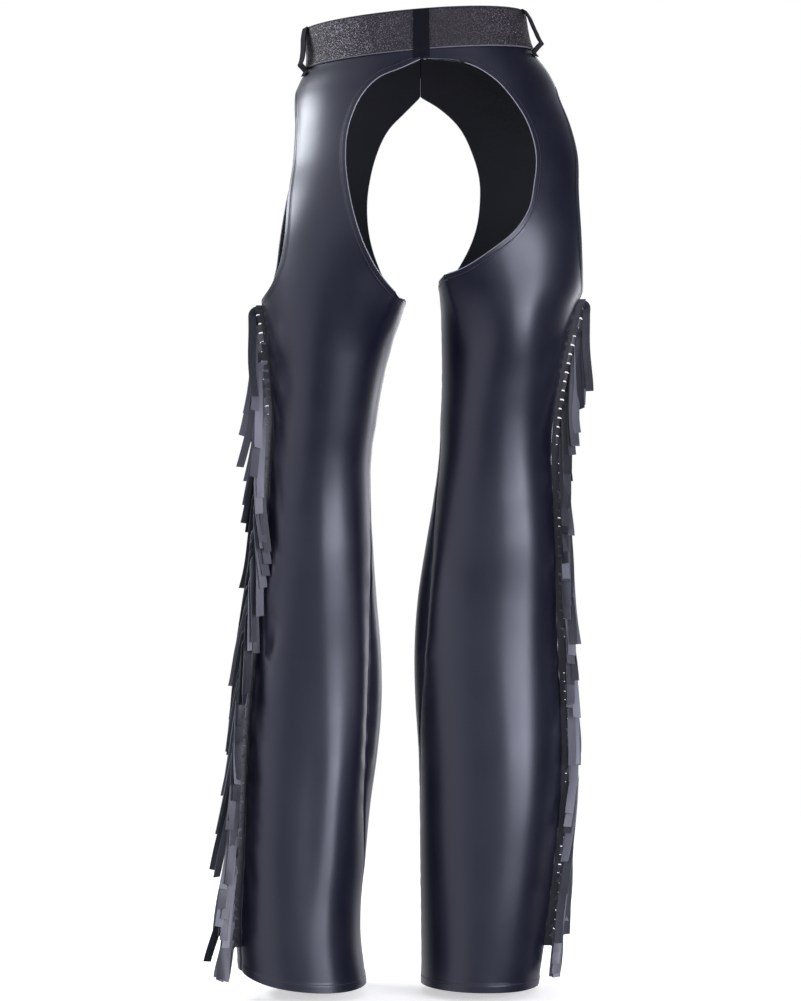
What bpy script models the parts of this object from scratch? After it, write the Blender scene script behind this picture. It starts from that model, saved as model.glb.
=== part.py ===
"""Black leather-look chaps with side fringe and their own belt, in the hollow form they keep when worn.

The front faces -Y, the left leg is at +X, and the origin is the middle of the waist, level with the
middle of the belt. All sizes are in metres. Run it with blender --background --python part.py.
"""

import math
import random
from collections import namedtuple

import bmesh
import bpy
import numpy as np

# Cloth and gaps
WALL = 0.0012
SEAM_GAP = 0.0003
TAPE_THICKNESS = 0.0012

# Waist: the belt runs round the origin, and the cloth ends level with its top
BELT_HEIGHT = 0.044
BELT_THICKNESS = 0.002
WAIST_RISE = 0.084
RISE_FADES_FROM, RISE_FADES_TO = -0.05, -0.26

# Each leg tube turns into half of the hips between these heights
TUBE_BELOW, HIPS_ABOVE = -0.35, -0.16
HIP_TURN = 2 / 3
MIDLINE_ANGLE = 90 / HIP_TURN

# Mesh density
ACROSS_PANEL = 11
ROWS_TUBE, ROWS_CUTS = 16, 16
WAIST_LEVELS = (-BELT_HEIGHT / 2, BELT_HEIGHT / 2)
SHARP_ANGLE = math.radians(40)

Section = namedtuple("Section", "height outer inner centre_y half_depth")
Hips = namedtuple("Hips", "height centre_y half_depth")
Cut = namedtuple("Cut", "height across")
Notch = namedtuple("Notch", "height setback")
Seam = namedtuple("Seam", "height angle")
Fold = namedtuple("Fold", "angle height spread reach depth slant")
Leg = namedtuple(
    "Leg",
    "name side sections back_cut front_cut back_notch front_notch outseam inseam hem_outer hem_inner "
    "hem_bow folds",
)

HIPS = (
    Hips(0.030, 0.000, 0.094),
    Hips(-0.024, 0.001, 0.098),
    Hips(-0.100, 0.005, 0.108),
    Hips(-0.190, 0.008, 0.114),
    Hips(-0.260, 0.006, 0.110),
    Hips(-0.360, 0.000, 0.100),
)

# Distances across are from the middle of the body; the angle of a seam is 0 at the outer side,
# 90 at the back and 180 at the inner side
LEFT = Leg(
    name="left",
    side=1,
    sections=(
        Section(0.022, 0.1275, 0.018, 0.004, 0.098),
        Section(-0.022, 0.1265, 0.018, 0.004, 0.100),
        Section(-0.034, 0.1330, 0.018, 0.005, 0.101),
        Section(-0.050, 0.1385, 0.018, 0.005, 0.102),
        Section(-0.090, 0.1435, 0.018, 0.006, 0.102),
        Section(-0.130, 0.1505, 0.018, 0.006, 0.102),
        Section(-0.170, 0.1640, 0.018, 0.006, 0.100),
        Section(-0.210, 0.1740, 0.018, 0.005, 0.097),
        Section(-0.250, 0.1765, 0.018, 0.003, 0.093),
        Section(-0.287, 0.1750, 0.0176, 0.000, 0.089),
        Section(-0.328, 0.1694, 0.0297, -0.005, 0.085),
        Section(-0.372, 0.1667, 0.0407, -0.010, 0.079),
        Section(-0.416, 0.1672, 0.0484, -0.015, 0.073),
        Section(-0.460, 0.1705, 0.0550, -0.020, 0.068),
        Section(-0.504, 0.1749, 0.0555, -0.023, 0.064),
        Section(-0.570, 0.1804, 0.0528, -0.022, 0.062),
        Section(-0.614, 0.1854, 0.0506, -0.018, 0.063),
        Section(-0.680, 0.1903, 0.0473, -0.010, 0.066),
        Section(-0.724, 0.1936, 0.0473, -0.005, 0.068),
        Section(-0.790, 0.1969, 0.0512, 0.000, 0.071),
        Section(-0.834, 0.1991, 0.0561, 0.002, 0.074),
        Section(-0.900, 0.2024, 0.0616, 0.004, 0.078),
        Section(-0.944, 0.2035, 0.0660, 0.004, 0.082),
        Section(-0.977, 0.2030, 0.0665, 0.004, 0.085),
        Section(-1.040, 0.1985, 0.0590, 0.002, 0.090),
    ),
    back_cut=(
        Cut(-0.0410, 0.0199),
        Cut(-0.0527, 0.0477),
        Cut(-0.0763, 0.0681),
        Cut(-0.1143, 0.0804),
        Cut(-0.1363, 0.0815),
        Cut(-0.1631, 0.0793),
        Cut(-0.2017, 0.0715),
        Cut(-0.2306, 0.0617),
        Cut(-0.2617, 0.0445),
        Cut(-0.2775, 0.0310),
        Cut(-0.2875, 0.0176),
    ),
    front_cut=(
        Cut(-0.0660, 0.0180),
        Cut(-0.0850, 0.0360),
        Cut(-0.1200, 0.0520),
        Cut(-0.1600, 0.0600),
        Cut(-0.2000, 0.0590),
        Cut(-0.2350, 0.0500),
        Cut(-0.2650, 0.0360),
        Cut(-0.2875, 0.0176),
    ),
    back_notch=(
        Notch(-0.0560, 0.000),
        Notch(-0.0650, 0.016),
        Notch(-0.0900, 0.029),
        Notch(-0.1350, 0.042),
        Notch(-0.1750, 0.055),
        Notch(-0.2200, 0.064),
        Notch(-0.2500, 0.060),
        Notch(-0.2720, 0.046),
        Notch(-0.2820, 0.026),
        Notch(-0.2860, 0.000),
    ),
    front_notch=(
        Notch(-0.0560, 0.000),
        Notch(-0.0650, 0.014),
        Notch(-0.0900, 0.026),
        Notch(-0.1350, 0.036),
        Notch(-0.1750, 0.046),
        Notch(-0.2200, 0.052),
        Notch(-0.2500, 0.049),
        Notch(-0.2720, 0.038),
        Notch(-0.2820, 0.022),
        Notch(-0.2860, 0.000),
    ),
    outseam=(
        Seam(-0.20, 0),
        Seam(-0.30, 4),
        Seam(-0.42, 20),
        Seam(-0.56, 30),
        Seam(-0.75, 25),
        Seam(-0.92, 28),
        Seam(-1.05, 20),
    ),
    inseam=(
        Seam(-0.20, 180),
        Seam(-0.40, 180),
        Seam(-0.52, 173),
        Seam(-0.63, 160),
        Seam(-0.73, 155),
        Seam(-0.83, 160),
        Seam(-0.93, 176),
        Seam(-1.05, 180),
    ),
    hem_outer=-1.0165,
    hem_inner=-1.0325,
    hem_bow=0.008,
    folds=(
        Fold(156, -0.72, 12, 0.12, -0.0040, 0),
        Fold(188, -0.71, 20, 0.13, 0.0040, 0),
        Fold(-90, -0.50, 45, 0.07, 0.0040, 0),
        Fold(60, -0.80, 20, 0.20, 0.0030, -30),
        Fold(100, -0.84, 16, 0.16, -0.0025, 20),
        Fold(-55, -0.86, 20, 0.18, 0.0040, 30),
        Fold(-110, -0.90, 20, 0.15, -0.0030, 0),
        Fold(38, -0.38, 18, 0.05, -0.0030, 0),
    ),
)

RIGHT = Leg(
    name="right",
    side=-1,
    sections=(
        Section(0.022, 0.1125, 0.018, 0.004, 0.098),
        Section(-0.022, 0.1232, 0.018, 0.004, 0.100),
        Section(-0.046, 0.1400, 0.018, 0.005, 0.102),
        Section(-0.080, 0.1545, 0.018, 0.006, 0.102),
        Section(-0.110, 0.1680, 0.018, 0.006, 0.102),
        Section(-0.140, 0.1775, 0.018, 0.006, 0.101),
        Section(-0.175, 0.1815, 0.018, 0.006, 0.099),
        Section(-0.215, 0.1850, 0.019, 0.004, 0.096),
        Section(-0.250, 0.1825, 0.020, 0.002, 0.093),
        Section(-0.273, 0.1782, 0.0209, 0.001, 0.091),
        Section(-0.295, 0.1700, 0.0220, 0.000, 0.089),
        Section(-0.317, 0.1645, 0.0223, -0.001, 0.086),
        Section(-0.350, 0.1570, 0.0228, -0.003, 0.083),
        Section(-0.383, 0.1510, 0.0228, -0.005, 0.079),
        Section(-0.416, 0.1462, 0.0215, -0.007, 0.074),
        Section(-0.450, 0.1445, 0.0205, -0.009, 0.070),
        Section(-0.504, 0.1463, 0.0143, -0.010, 0.065),
        Section(-0.548, 0.1483, 0.0077, -0.008, 0.063),
        Section(-0.614, 0.1498, -0.0010, -0.002, 0.065),
        Section(-0.674, 0.1518, -0.0045, 0.002, 0.068),
        Section(-0.724, 0.1538, -0.0044, 0.004, 0.071),
        Section(-0.779, 0.1546, -0.0022, 0.006, 0.074),
        Section(-0.834, 0.1536, -0.0016, 0.005, 0.077),
        Section(-0.892, 0.1485, -0.0011, 0.002, 0.081),
        Section(-0.944, 0.1425, -0.0005, -0.002, 0.086),
        Section(-1.040, 0.1290, -0.0005, -0.010, 0.092),
    ),
    back_cut=(
        Cut(-0.0377, 0.0530),
        Cut(-0.0559, 0.0830),
        Cut(-0.0838, 0.1061),
        Cut(-0.1170, 0.1205),
        Cut(-0.1449, 0.1233),
        Cut(-0.1609, 0.1214),
        Cut(-0.1888, 0.1163),
        Cut(-0.2124, 0.1030),
        Cut(-0.2370, 0.0744),
        Cut(-0.2531, 0.0498),
        Cut(-0.2690, 0.0210),
    ),
    front_cut=(
        Cut(-0.0600, 0.0200),
        Cut(-0.0800, 0.0420),
        Cut(-0.1150, 0.0600),
        Cut(-0.1550, 0.0680),
        Cut(-0.1950, 0.0640),
        Cut(-0.2250, 0.0530),
        Cut(-0.2500, 0.0380),
        Cut(-0.2690, 0.0210),
    ),
    back_notch=(
        Notch(-0.0520, 0.000),
        Notch(-0.0600, 0.013),
        Notch(-0.0850, 0.022),
        Notch(-0.1250, 0.031),
        Notch(-0.1700, 0.039),
        Notch(-0.2150, 0.041),
        Notch(-0.2450, 0.035),
        Notch(-0.2660, 0.024),
        Notch(-0.2750, 0.013),
        Notch(-0.2790, 0.000),
    ),
    front_notch=(
        Notch(-0.0520, 0.000),
        Notch(-0.0600, 0.016),
        Notch(-0.0850, 0.030),
        Notch(-0.1250, 0.042),
        Notch(-0.1700, 0.052),
        Notch(-0.2150, 0.056),
        Notch(-0.2450, 0.050),
        Notch(-0.2660, 0.036),
        Notch(-0.2750, 0.020),
        Notch(-0.2790, 0.000),
    ),
    outseam=(
        Seam(-0.20, 0),
        Seam(-0.35, 2),
        Seam(-0.55, 8),
        Seam(-0.80, 4),
        Seam(-1.05, 8),
    ),
    inseam=(
        Seam(-0.20, 180),
        Seam(-0.38, 180),
        Seam(-0.48, 171),
        Seam(-0.58, 160),
        Seam(-0.68, 158),
        Seam(-0.78, 172),
        Seam(-0.90, 180),
        Seam(-1.05, 180),
    ),
    hem_outer=-1.0365,
    hem_inner=-1.0345,
    hem_bow=-0.002,
    folds=(
        Fold(160, -0.62, 12, 0.10, -0.0040, 0),
        Fold(190, -0.64, 20, 0.11, 0.0035, 0),
        Fold(-90, -0.50, 45, 0.07, 0.0035, 0),
        Fold(70, -0.84, 20, 0.18, 0.0030, 30),
        Fold(30, -0.90, 18, 0.12, -0.0030, 0),
        Fold(-50, -0.84, 22, 0.18, 0.0035, 20),
        Fold(-125, -0.90, 20, 0.15, -0.0030, 0),
    ),
)
LEGS = (LEFT, RIGHT)

# Seam heights at the middle of the waist, below the belt
BACK_POINT, FRONT_POINT = -0.032, -0.048

# Fringe: a tape along each outer seam, slit into strands that bend down edge on and hang straight
STRAND_PITCH = 0.010
STRAND_WIDTH = 0.0086
STRAND_THICKNESS = 0.0009
STRAND_LENGTH = 0.103
LENGTH_VARIES = (0.84, 1.08)
BEND_VARIES = (0.0075, 0.0110)
BEND_STEPS = (0.35, 0.7, 1.0)
HANG_STEPS = (0.33, 0.66, 1.0)
TAPE_REACH = 0.0040
TAPE_BELOW_CUT = 0.0040
TAPE_END = -0.9980
STRANDS_END = -1.0263

# Each strand falls to the back or the front of the tape, and further from it the lower it gets, so
# that it lies over the strands below it: a first step aside, then a share of the drop
FALLS_BACK = 0.62
FIRST_ASIDE, FIRST_DROP = 0.0016, 0.0060
ASIDE_SHARE = 0.17

# How far the strands stand out from the leg by height, in degrees, and how much that varies
Splay = namedtuple("Splay", "height usual spread")
Fringe = namedtuple("Fringe", "leg seed splays")
FRINGES = (
    Fringe(
        leg=LEFT,
        seed=3,
        splays=(
            Splay(-0.28, 9, 3),
            Splay(-0.37, 6, 4),
            Splay(-0.44, -1, 4),
            Splay(-0.53, -4, 3),
            Splay(-0.62, 1, 3),
            Splay(-0.76, 4, 4),
            Splay(-0.87, 9, 5),
            Splay(-0.99, 13, 7),
        ),
    ),
    Fringe(
        leg=RIGHT,
        seed=8,
        splays=(
            Splay(-0.27, 12, 2),
            Splay(-0.32, 11, 3),
            Splay(-0.38, 3, 4),
            Splay(-0.46, 1, 4),
            Splay(-0.60, 1, 4),
            Splay(-0.70, -1, 3),
            Splay(-0.80, -1, 4),
            Splay(-0.88, 3, 4),
            Splay(-0.99, 4, 4),
        ),
    ),
)

# Belt, buckle and loops, placed by their turn round the waist: 0 left, 90 back, 180 right, 270 front
BELT_OFFSET = SEAM_GAP
BELT_STEPS = 56
BELT_END_GAP = 2.0
BUCKLE_WIDTH, BUCKLE_HEIGHT, BUCKLE_THICKNESS = 0.056, 0.054, 0.0035
BUCKLE_CORNER, BUCKLE_EDGE = 0.007, 0.0012
LOOP_WIDTH, LOOP_THICKNESS = 0.0165, 0.0012
FOOT_OFFSET, FOOT_BELOW, FOOT_LENGTH = 0.0008, 0.0085, 0.0050
Loop = namedtuple("Loop", "name turn slack")
LOOPS = (
    Loop("belt_loop_back", 90, 0.0004),
    Loop("belt_loop_left", 14, 0.0075),
    Loop("belt_loop_right", 166, 0.0110),
    Loop("belt_loop_front_left", 308, 0.0006),
    Loop("belt_loop_front_right", 232, 0.0006),
)

Finish = namedtuple("Finish", "colour roughness metallic")
FINISHES = {
    "wet_look_cloth": Finish((0.030, 0.032, 0.042), 0.32, 0.0),
    "fringe_cloth": Finish((0.045, 0.045, 0.055), 0.48, 0.0),
    "glitter_belt": Finish((0.085, 0.075, 0.090), 0.55, 0.2),
    "loop_cloth": Finish((0.020, 0.020, 0.028), 0.60, 0.0),
    "dark_metal": Finish((0.090, 0.090, 0.100), 0.30, 1.0),
}


def smoothstep(value, low, high):
    """0 at low, 1 at high, with soft ends."""
    share = np.clip((np.asarray(value, float) - low) / (high - low), 0, 1)
    return share * share * (3 - 2 * share)


def column(rows, name, height):
    """A column of a table at the given heights, on a smooth curve through its rows."""
    heights = np.array([row.height for row in rows][::-1], float)
    values = np.array([getattr(row, name) for row in rows][::-1], float)
    slopes = np.gradient(values, heights)
    height = np.clip(np.asarray(height, float), heights[0], heights[-1])
    i = np.clip(np.searchsorted(heights, height) - 1, 0, len(heights) - 2)
    step = heights[i + 1] - heights[i]
    t = (height - heights[i]) / step
    return (
        values[i] * (1 + 2 * t) * (1 - t) ** 2
        + slopes[i] * step * t * (1 - t) ** 2
        + values[i + 1] * t * t * (3 - 2 * t)
        + slopes[i + 1] * step * t * t * (t - 1)
    )


def wrapped(angle):
    """The same angle between -180 and 180 degrees."""
    return (np.asarray(angle, float) + 180) % 360 - 180


def fold_depth(leg, angle, height):
    """How far the soft folds lift the cloth of a leg."""
    depth = np.zeros(np.broadcast(angle, height).shape)
    for fold in leg.folds:
        middle = fold.angle + fold.slant * (height - fold.height)
        turn = wrapped(angle - middle) / fold.spread
        depth = depth + fold.depth * np.exp(-(turn**2) - ((height - fold.height) / fold.reach) ** 2)
    return depth


def surface(leg, angle, height):
    """Points on the outer face of a leg, for angles in degrees and heights before the waist is tilted."""
    angle, height = np.broadcast_arrays(np.asarray(angle, float), np.asarray(height, float))
    turn = np.radians(angle)
    outer = column(leg.sections, "outer", height)
    inner = column(leg.sections, "inner", height)
    lift = fold_depth(leg, angle, height)
    leg_x = (outer + inner) / 2 + ((outer - inner) / 2 + lift) * np.cos(turn)
    depth = column(leg.sections, "half_depth", height) + lift
    leg_y = column(leg.sections, "centre_y", height) + depth * np.sin(turn)
    round_hips = wrapped(angle)
    past_midline = np.clip((np.abs(round_hips) - MIDLINE_ANGLE) / (180 - MIDLINE_ANGLE), 0, 1)
    hip_turn = np.radians(np.clip(round_hips * HIP_TURN, -90, 90))
    hip_x = outer * np.cos(hip_turn) + inner * past_midline
    hip_y = column(HIPS, "half_depth", height) * np.sin(hip_turn) * (1 - past_midline)
    hip_y = hip_y + column(HIPS, "centre_y", height)
    share = smoothstep(height, TUBE_BELOW, HIPS_ABOVE)
    x = leg.side * (leg_x + (hip_x - leg_x) * share)
    y = leg_y + (hip_y - leg_y) * share
    z = height - WAIST_RISE * x * smoothstep(height, RISE_FADES_TO, RISE_FADES_FROM)
    return np.stack([x, y, z], axis=-1)


def outward(leg, angle, height):
    """Unit normals of the outer face of a leg."""
    angle, height = np.broadcast_arrays(np.asarray(angle, float), np.asarray(height, float))
    reach = np.where(np.abs(angle) <= MIDLINE_ANGLE, MIDLINE_ANGLE, 1e3)
    ahead = surface(leg, np.clip(angle + 1, -reach, reach), height)
    behind = surface(leg, np.clip(angle - 1, -reach, reach), height)
    up = surface(leg, angle, height + 0.002) - surface(leg, angle, height - 0.002)
    normal = leg.side * np.cross(ahead - behind, up)
    return normal / np.linalg.norm(normal, axis=-1, keepdims=True)


def untilted(leg, across, z):
    """The height before the waist is tilted of a point at this distance from the middle."""
    height = z
    for _ in range(8):
        fade = smoothstep(height, RISE_FADES_TO, RISE_FADES_FROM)
        height = float(z + WAIST_RISE * leg.side * across * fade)
    return height


def angle_where(leg, height, toward, reached):
    """The first angle, from the outer side towards the back (+1) or front (-1), at which a test holds."""
    low, high = 0.0, 180.0
    for _ in range(40):
        middle = (low + high) / 2
        if reached(surface(leg, toward * middle, height)):
            high = middle
        else:
            low = middle
    return toward * high


def angle_across(leg, height, across, toward):
    """The angle at which a leg's face is this far from the middle of the body."""
    return angle_where(leg, height, toward, lambda point: leg.side * point[0] <= across)


def angle_setback(leg, height, setback, toward):
    """The angle at which a leg's face is this far behind or before its outer side."""
    side_y = surface(leg, 0.0, height)[1]
    return angle_where(leg, height, toward, lambda point: toward * (point[1] - side_y) >= setback)


def spaced_along(leg, corners, steps):
    """Evenly spaced (angle, height) points on a smooth line through the given ones."""
    corners = np.array(corners, float)
    places = surface(leg, corners[:, 0], corners[:, 1])
    run = np.concatenate([[0], np.cumsum(np.linalg.norm(np.diff(places, axis=0), axis=1))])
    Along = namedtuple("Along", "height angle level")
    rows = [Along(-r, a, h) for r, (a, h) in zip(run, corners)]
    wanted = -np.linspace(0, run[-1], steps + 1)
    return np.stack([column(rows, "angle", wanted), column(rows, "level", wanted)], axis=-1)


def seam_shift(leg, height, gap=SEAM_GAP):
    """Half a seam gap as an angle, at the outer or inner side of a leg."""
    return math.degrees(gap / 2 / float(column(leg.sections, "half_depth", height)))


def outer_edge(leg, toward):
    """Outer edge of a panel from hem to waist: the side seam, the hip cut-out, and the seam above it."""
    notch = leg.back_notch if toward > 0 else leg.front_notch
    cut = []
    for row in notch[::-1]:
        side = float(column(leg.sections, "outer", row.height))
        height = untilted(leg, side, row.height)
        angle = angle_setback(leg, height, row.setback, toward) if row.setback else 0.0
        cut.append((angle + toward * seam_shift(leg, height), height))
    heights = np.linspace(leg.hem_outer, cut[0][1], ROWS_TUBE + 1)
    seam = column(leg.outseam, "angle", heights)
    tube = [(angle + toward * seam_shift(leg, h), h) for angle, h in zip(seam, heights)]
    waist = [(cut[-1][0], height) for height in WAIST_LEVELS]
    return np.concatenate([tube, spaced_along(leg, cut, ROWS_CUTS)[1:], waist])


def inner_edge(leg, toward):
    """Inner edge of a panel from hem to waist: the inner seam, the seat or front cut-out, the middle seam."""
    rows = leg.back_cut if toward > 0 else leg.front_cut
    point = BACK_POINT if toward > 0 else FRONT_POINT
    top = untilted(leg, rows[-1].across, rows[-1].height)
    heights = np.linspace(leg.hem_inner, top, ROWS_TUBE + 1)
    seam = column(leg.inseam, "angle", heights) - toward * np.array(
        [seam_shift(leg, height) for height in heights]
    )
    if toward < 0:
        seam = seam - 360
    cut = [(seam[-1], top)]
    for row in rows[-2::-1]:
        height = untilted(leg, row.across, row.height)
        cut.append((angle_across(leg, height, row.across, toward), height))
    cut.append((angle_across(leg, point, SEAM_GAP / 2, toward), point))
    waist = [(angle_across(leg, height, SEAM_GAP / 2, toward), height) for height in WAIST_LEVELS]
    tube = np.stack([seam, heights], axis=-1)
    return np.concatenate([tube, spaced_along(leg, cut, ROWS_CUTS)[1:], waist])


def panel_grid(leg, toward, columns=ACROSS_PANEL):
    """(angle, height) of each point of a panel, row by row from hem to waist, outer to inner edge."""
    outer, inner = outer_edge(leg, toward), inner_edge(leg, toward)
    share = np.linspace(0, 1, columns + 1)[None, :, None]
    grid = outer[:, None, :] * (1 - share) + inner[:, None, :] * share
    near_hem = np.clip(1 - np.arange(len(outer)) / (ROWS_TUBE / 3), 0, 1)[:, None]
    grid[..., 1] -= toward * leg.hem_bow * near_hem * 4 * (share * (1 - share))[..., 0]
    return grid


def collection(name):
    """A new collection in the scene."""
    made = bpy.data.collections.new(name)
    bpy.context.scene.collection.children.link(made)
    return made


def material(name):
    """The Principled material of a finish, made once."""
    found = bpy.data.materials.get(name)
    if found:
        return found
    finish = FINISHES[name]
    made = bpy.data.materials.new(name)
    made.use_nodes = True
    shader = made.node_tree.nodes["Principled BSDF"]
    shader.inputs["Base Color"].default_value = (*finish.colour, 1)
    shader.inputs["Roughness"].default_value = finish.roughness
    shader.inputs["Metallic"].default_value = finish.metallic
    made.diffuse_color = (*finish.colour, 1)
    return made


def add_object(name, bm, finish, smooth=True):
    """An object from a bmesh, with its faces pointing out."""
    bmesh.ops.recalc_face_normals(bm, faces=bm.faces[:])
    mesh = bpy.data.meshes.new(name)
    bm.to_mesh(mesh)
    bm.free()
    if smooth:
        mesh.shade_smooth()
        mesh.set_sharp_from_angle(angle=SHARP_ANGLE)
    made = bpy.data.objects.new(name, mesh)
    made.data.materials.append(material(finish))
    bpy.data.collections["chaps"].objects.link(made)
    return made


def walled(name, outside, inside, finish):
    """A wall between two grids of points: a sheet on the first, extruded onto the second."""
    rows, columns = outside.shape[:2]
    bm = bmesh.new()
    bmesh.ops.create_grid(bm, x_segments=columns - 1, y_segments=rows - 1, size=1)
    place = bm.verts.layers.int.new("place")
    bm.verts.ensure_lookup_table()
    for vert, point in zip(bm.verts, outside.reshape(-1, 3)):
        vert[place] = vert.index
        vert.co = point
    made = bmesh.ops.extrude_face_region(bm, geom=bm.faces[:], use_keep_orig=True)
    under = inside.reshape(-1, 3)
    for vert in (item for item in made["geom"] if isinstance(item, bmesh.types.BMVert)):
        vert.co = under[vert[place]]
    return add_object(name, bm, finish)


def build_panel(leg, toward):
    """One cut panel of a leg, from hem to waist."""
    grid = panel_grid(leg, toward)
    angle, height = grid[..., 0], grid[..., 1]
    outside = surface(leg, angle, height)
    inside = outside - WALL * outward(leg, angle, height)
    walled(f"{leg.name}_{'back' if toward > 0 else 'front'}", outside, inside, "wet_look_cloth")


def side_seam(leg, height):
    """The point, the outward direction and the direction to the back at a height of the outer seam."""
    angle = column(leg.outseam, "angle", height)
    out = outward(leg, angle, height)
    out = np.array([out[0], out[1], 0]) / math.hypot(out[0], out[1])
    return surface(leg, angle, height), out, leg.side * np.array([-out[1], out[0], 0])


def strand_sections(leg, root, falls, splay, bend, length):
    """Four-cornered sections of one strand, from just past its root to its tip.

    It leaves the tape edge on, bends down in its own plane round the radius bend, and follows the
    seam down with its flat sides to the back and front. falls is 1 where it falls to the back of the
    tape and -1 to the front, and splay is how far it hangs from the line of the leg.
    """
    turn = math.pi / 2 - splay
    bend_length = bend * turn
    marks = [bend_length * share for share in BEND_STEPS]
    marks += [bend_length + (length - bend_length) * share for share in HANG_STEPS]
    sections = []
    for run in marks:
        hung = max(run - bend_length, 0)
        slope = (run - hung) / bend
        out = TAPE_REACH + bend * math.sin(slope) + hung * math.cos(turn)
        drop = bend * (1 - math.cos(slope)) + hung * math.sin(turn)
        aside = falls * (FIRST_ASIDE * min(drop / FIRST_DROP, 1) + ASIDE_SHARE * drop)
        seam, out_way, back_way = side_seam(leg, root - drop)
        centre = seam + out_way * out + back_way * aside
        wide = (out_way * math.sin(slope) + np.array([0, 0, math.cos(slope)])) * STRAND_WIDTH / 2
        thick = back_way * STRAND_THICKNESS / 2
        sections.append([centre + wide + thick, centre + wide - thick,
                         centre - wide - thick, centre - wide + thick])
    return sections


def build_fringe(fringe):
    """The tape of one outer seam with its strands, as one body."""
    leg = fringe.leg
    chance = random.Random(fringe.seed)
    bm = bmesh.new()
    seam_heights = outer_edge(leg, 1)[: ROWS_TUBE + 1, 1]
    seam_line = surface(leg, column(leg.outseam, "angle", seam_heights), seam_heights)
    top = float(seam_heights[-1]) - TAPE_BELOW_CUT
    count = int((top - TAPE_END) / STRAND_PITCH)
    half = STRAND_WIDTH / 2
    rings = []
    for index in range(count):
        root = top - (index + 0.5) * STRAND_PITCH
        for height in (root + half, root - half):
            seam = np.array([np.interp(height, seam_line[:, 2], line) for line in seam_line.T])
            _, out_way, back_way = side_seam(leg, height)
            offsets = [(SEAM_GAP, 1), (SEAM_GAP, -1), (TAPE_REACH, -1), (TAPE_REACH, 1)]
            rings.append([
                bm.verts.new(seam + out * out_way + way * TAPE_THICKNESS / 2 * back_way)
                for out, way in offsets
            ])
    for above, below in zip(rings, rings[1:]):
        for a, b in ((0, 1), (1, 2), (3, 0)):
            bm.faces.new([above[a], above[b], below[b], below[a]])
    bm.faces.new(rings[0])
    bm.faces.new(rings[-1])
    for index in range(count):
        high, low = rings[2 * index], rings[2 * index + 1]
        if index + 1 < count:
            after = rings[2 * index + 2]
            bm.faces.new([low[3], low[2], after[2], after[3]])
        root = top - (index + 0.5) * STRAND_PITCH
        falls = 1 if chance.random() < FALLS_BACK else -1
        spread = float(column(fringe.splays, "spread", root))
        usual = float(column(fringe.splays, "usual", root))
        splay = math.radians(usual + chance.triangular(-spread, spread, 0))
        bend = chance.uniform(*BEND_VARIES)
        length = min(STRAND_LENGTH * chance.uniform(*LENGTH_VARIES), root - STRANDS_END + bend / 2)
        last = [high[3], high[2], low[2], low[3]]
        for section in strand_sections(leg, root, falls, splay, bend, length):
            ring = [bm.verts.new(corner) for corner in section]
            for a in range(4):
                b = (a + 1) % 4
                bm.faces.new([last[a], last[b], ring[b], ring[a]])
            last = ring
        bm.faces.new(last)
    add_object(f"fringe_{leg.name}", bm, "fringe_cloth", smooth=False)


def waist_place(turn):
    """The leg and the angle on it at a turn round the waist."""
    leg = LEFT if math.cos(math.radians(turn)) >= 0 else RIGHT
    hip_angle = math.degrees(math.asin(math.sin(math.radians(turn))))
    return leg, hip_angle / HIP_TURN


def waist_point(turn, height, offset):
    """A point outside the waist, this far from the cloth."""
    leg, angle = waist_place(turn)
    return surface(leg, angle, height) + offset * outward(leg, angle, height)


def build_belt():
    """The belt: a strap round the waist whose ends stop behind the buckle."""
    turns = np.linspace(270 + BELT_END_GAP, 630 - BELT_END_GAP, BELT_STEPS + 1)
    heights = (-BELT_HEIGHT / 2, BELT_HEIGHT / 2)
    outside = np.array([[waist_point(t, h, BELT_OFFSET + BELT_THICKNESS) for h in heights] for t in turns])
    inside = np.array([[waist_point(t, h, BELT_OFFSET) for h in heights] for t in turns])
    walled("belt", outside, inside, "glitter_belt")


def build_loop(loop):
    """A belt loop: sewn to the cloth under the belt, standing off the belt, and hooked over the top edge."""
    clear = BELT_OFFSET + BELT_THICKNESS + SEAM_GAP
    low, high = -BELT_HEIGHT / 2, BELT_HEIGHT / 2
    under = (
        (low - FOOT_BELOW, FOOT_OFFSET),
        (low - FOOT_BELOW + FOOT_LENGTH, FOOT_OFFSET),
        (low - SEAM_GAP, clear + loop.slack),
        (high + SEAM_GAP, clear),
        (high + SEAM_GAP, -WALL),
    )
    over = [(height, offset + LOOP_THICKNESS) for height, offset in under[:-2]]
    over += [(high + SEAM_GAP + LOOP_THICKNESS, offset) for offset in (clear + LOOP_THICKNESS, -WALL)]
    leg, angle = waist_place(loop.turn)
    girth = float(np.linalg.norm(surface(leg, angle + 1, 0.0) - surface(leg, angle - 1, 0.0))) / 2
    half_turn = LOOP_WIDTH / 2 / girth * HIP_TURN
    turns = [loop.turn + half_turn * share for share in (-1, -1 / 3, 1 / 3, 1)]
    inside = np.array([[waist_point(t, h, o) for t in turns] for h, o in under])
    outside = np.array([[waist_point(t, h, o) for t in turns] for h, o in over])
    walled(loop.name, outside, inside, "loop_cloth")


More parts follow.
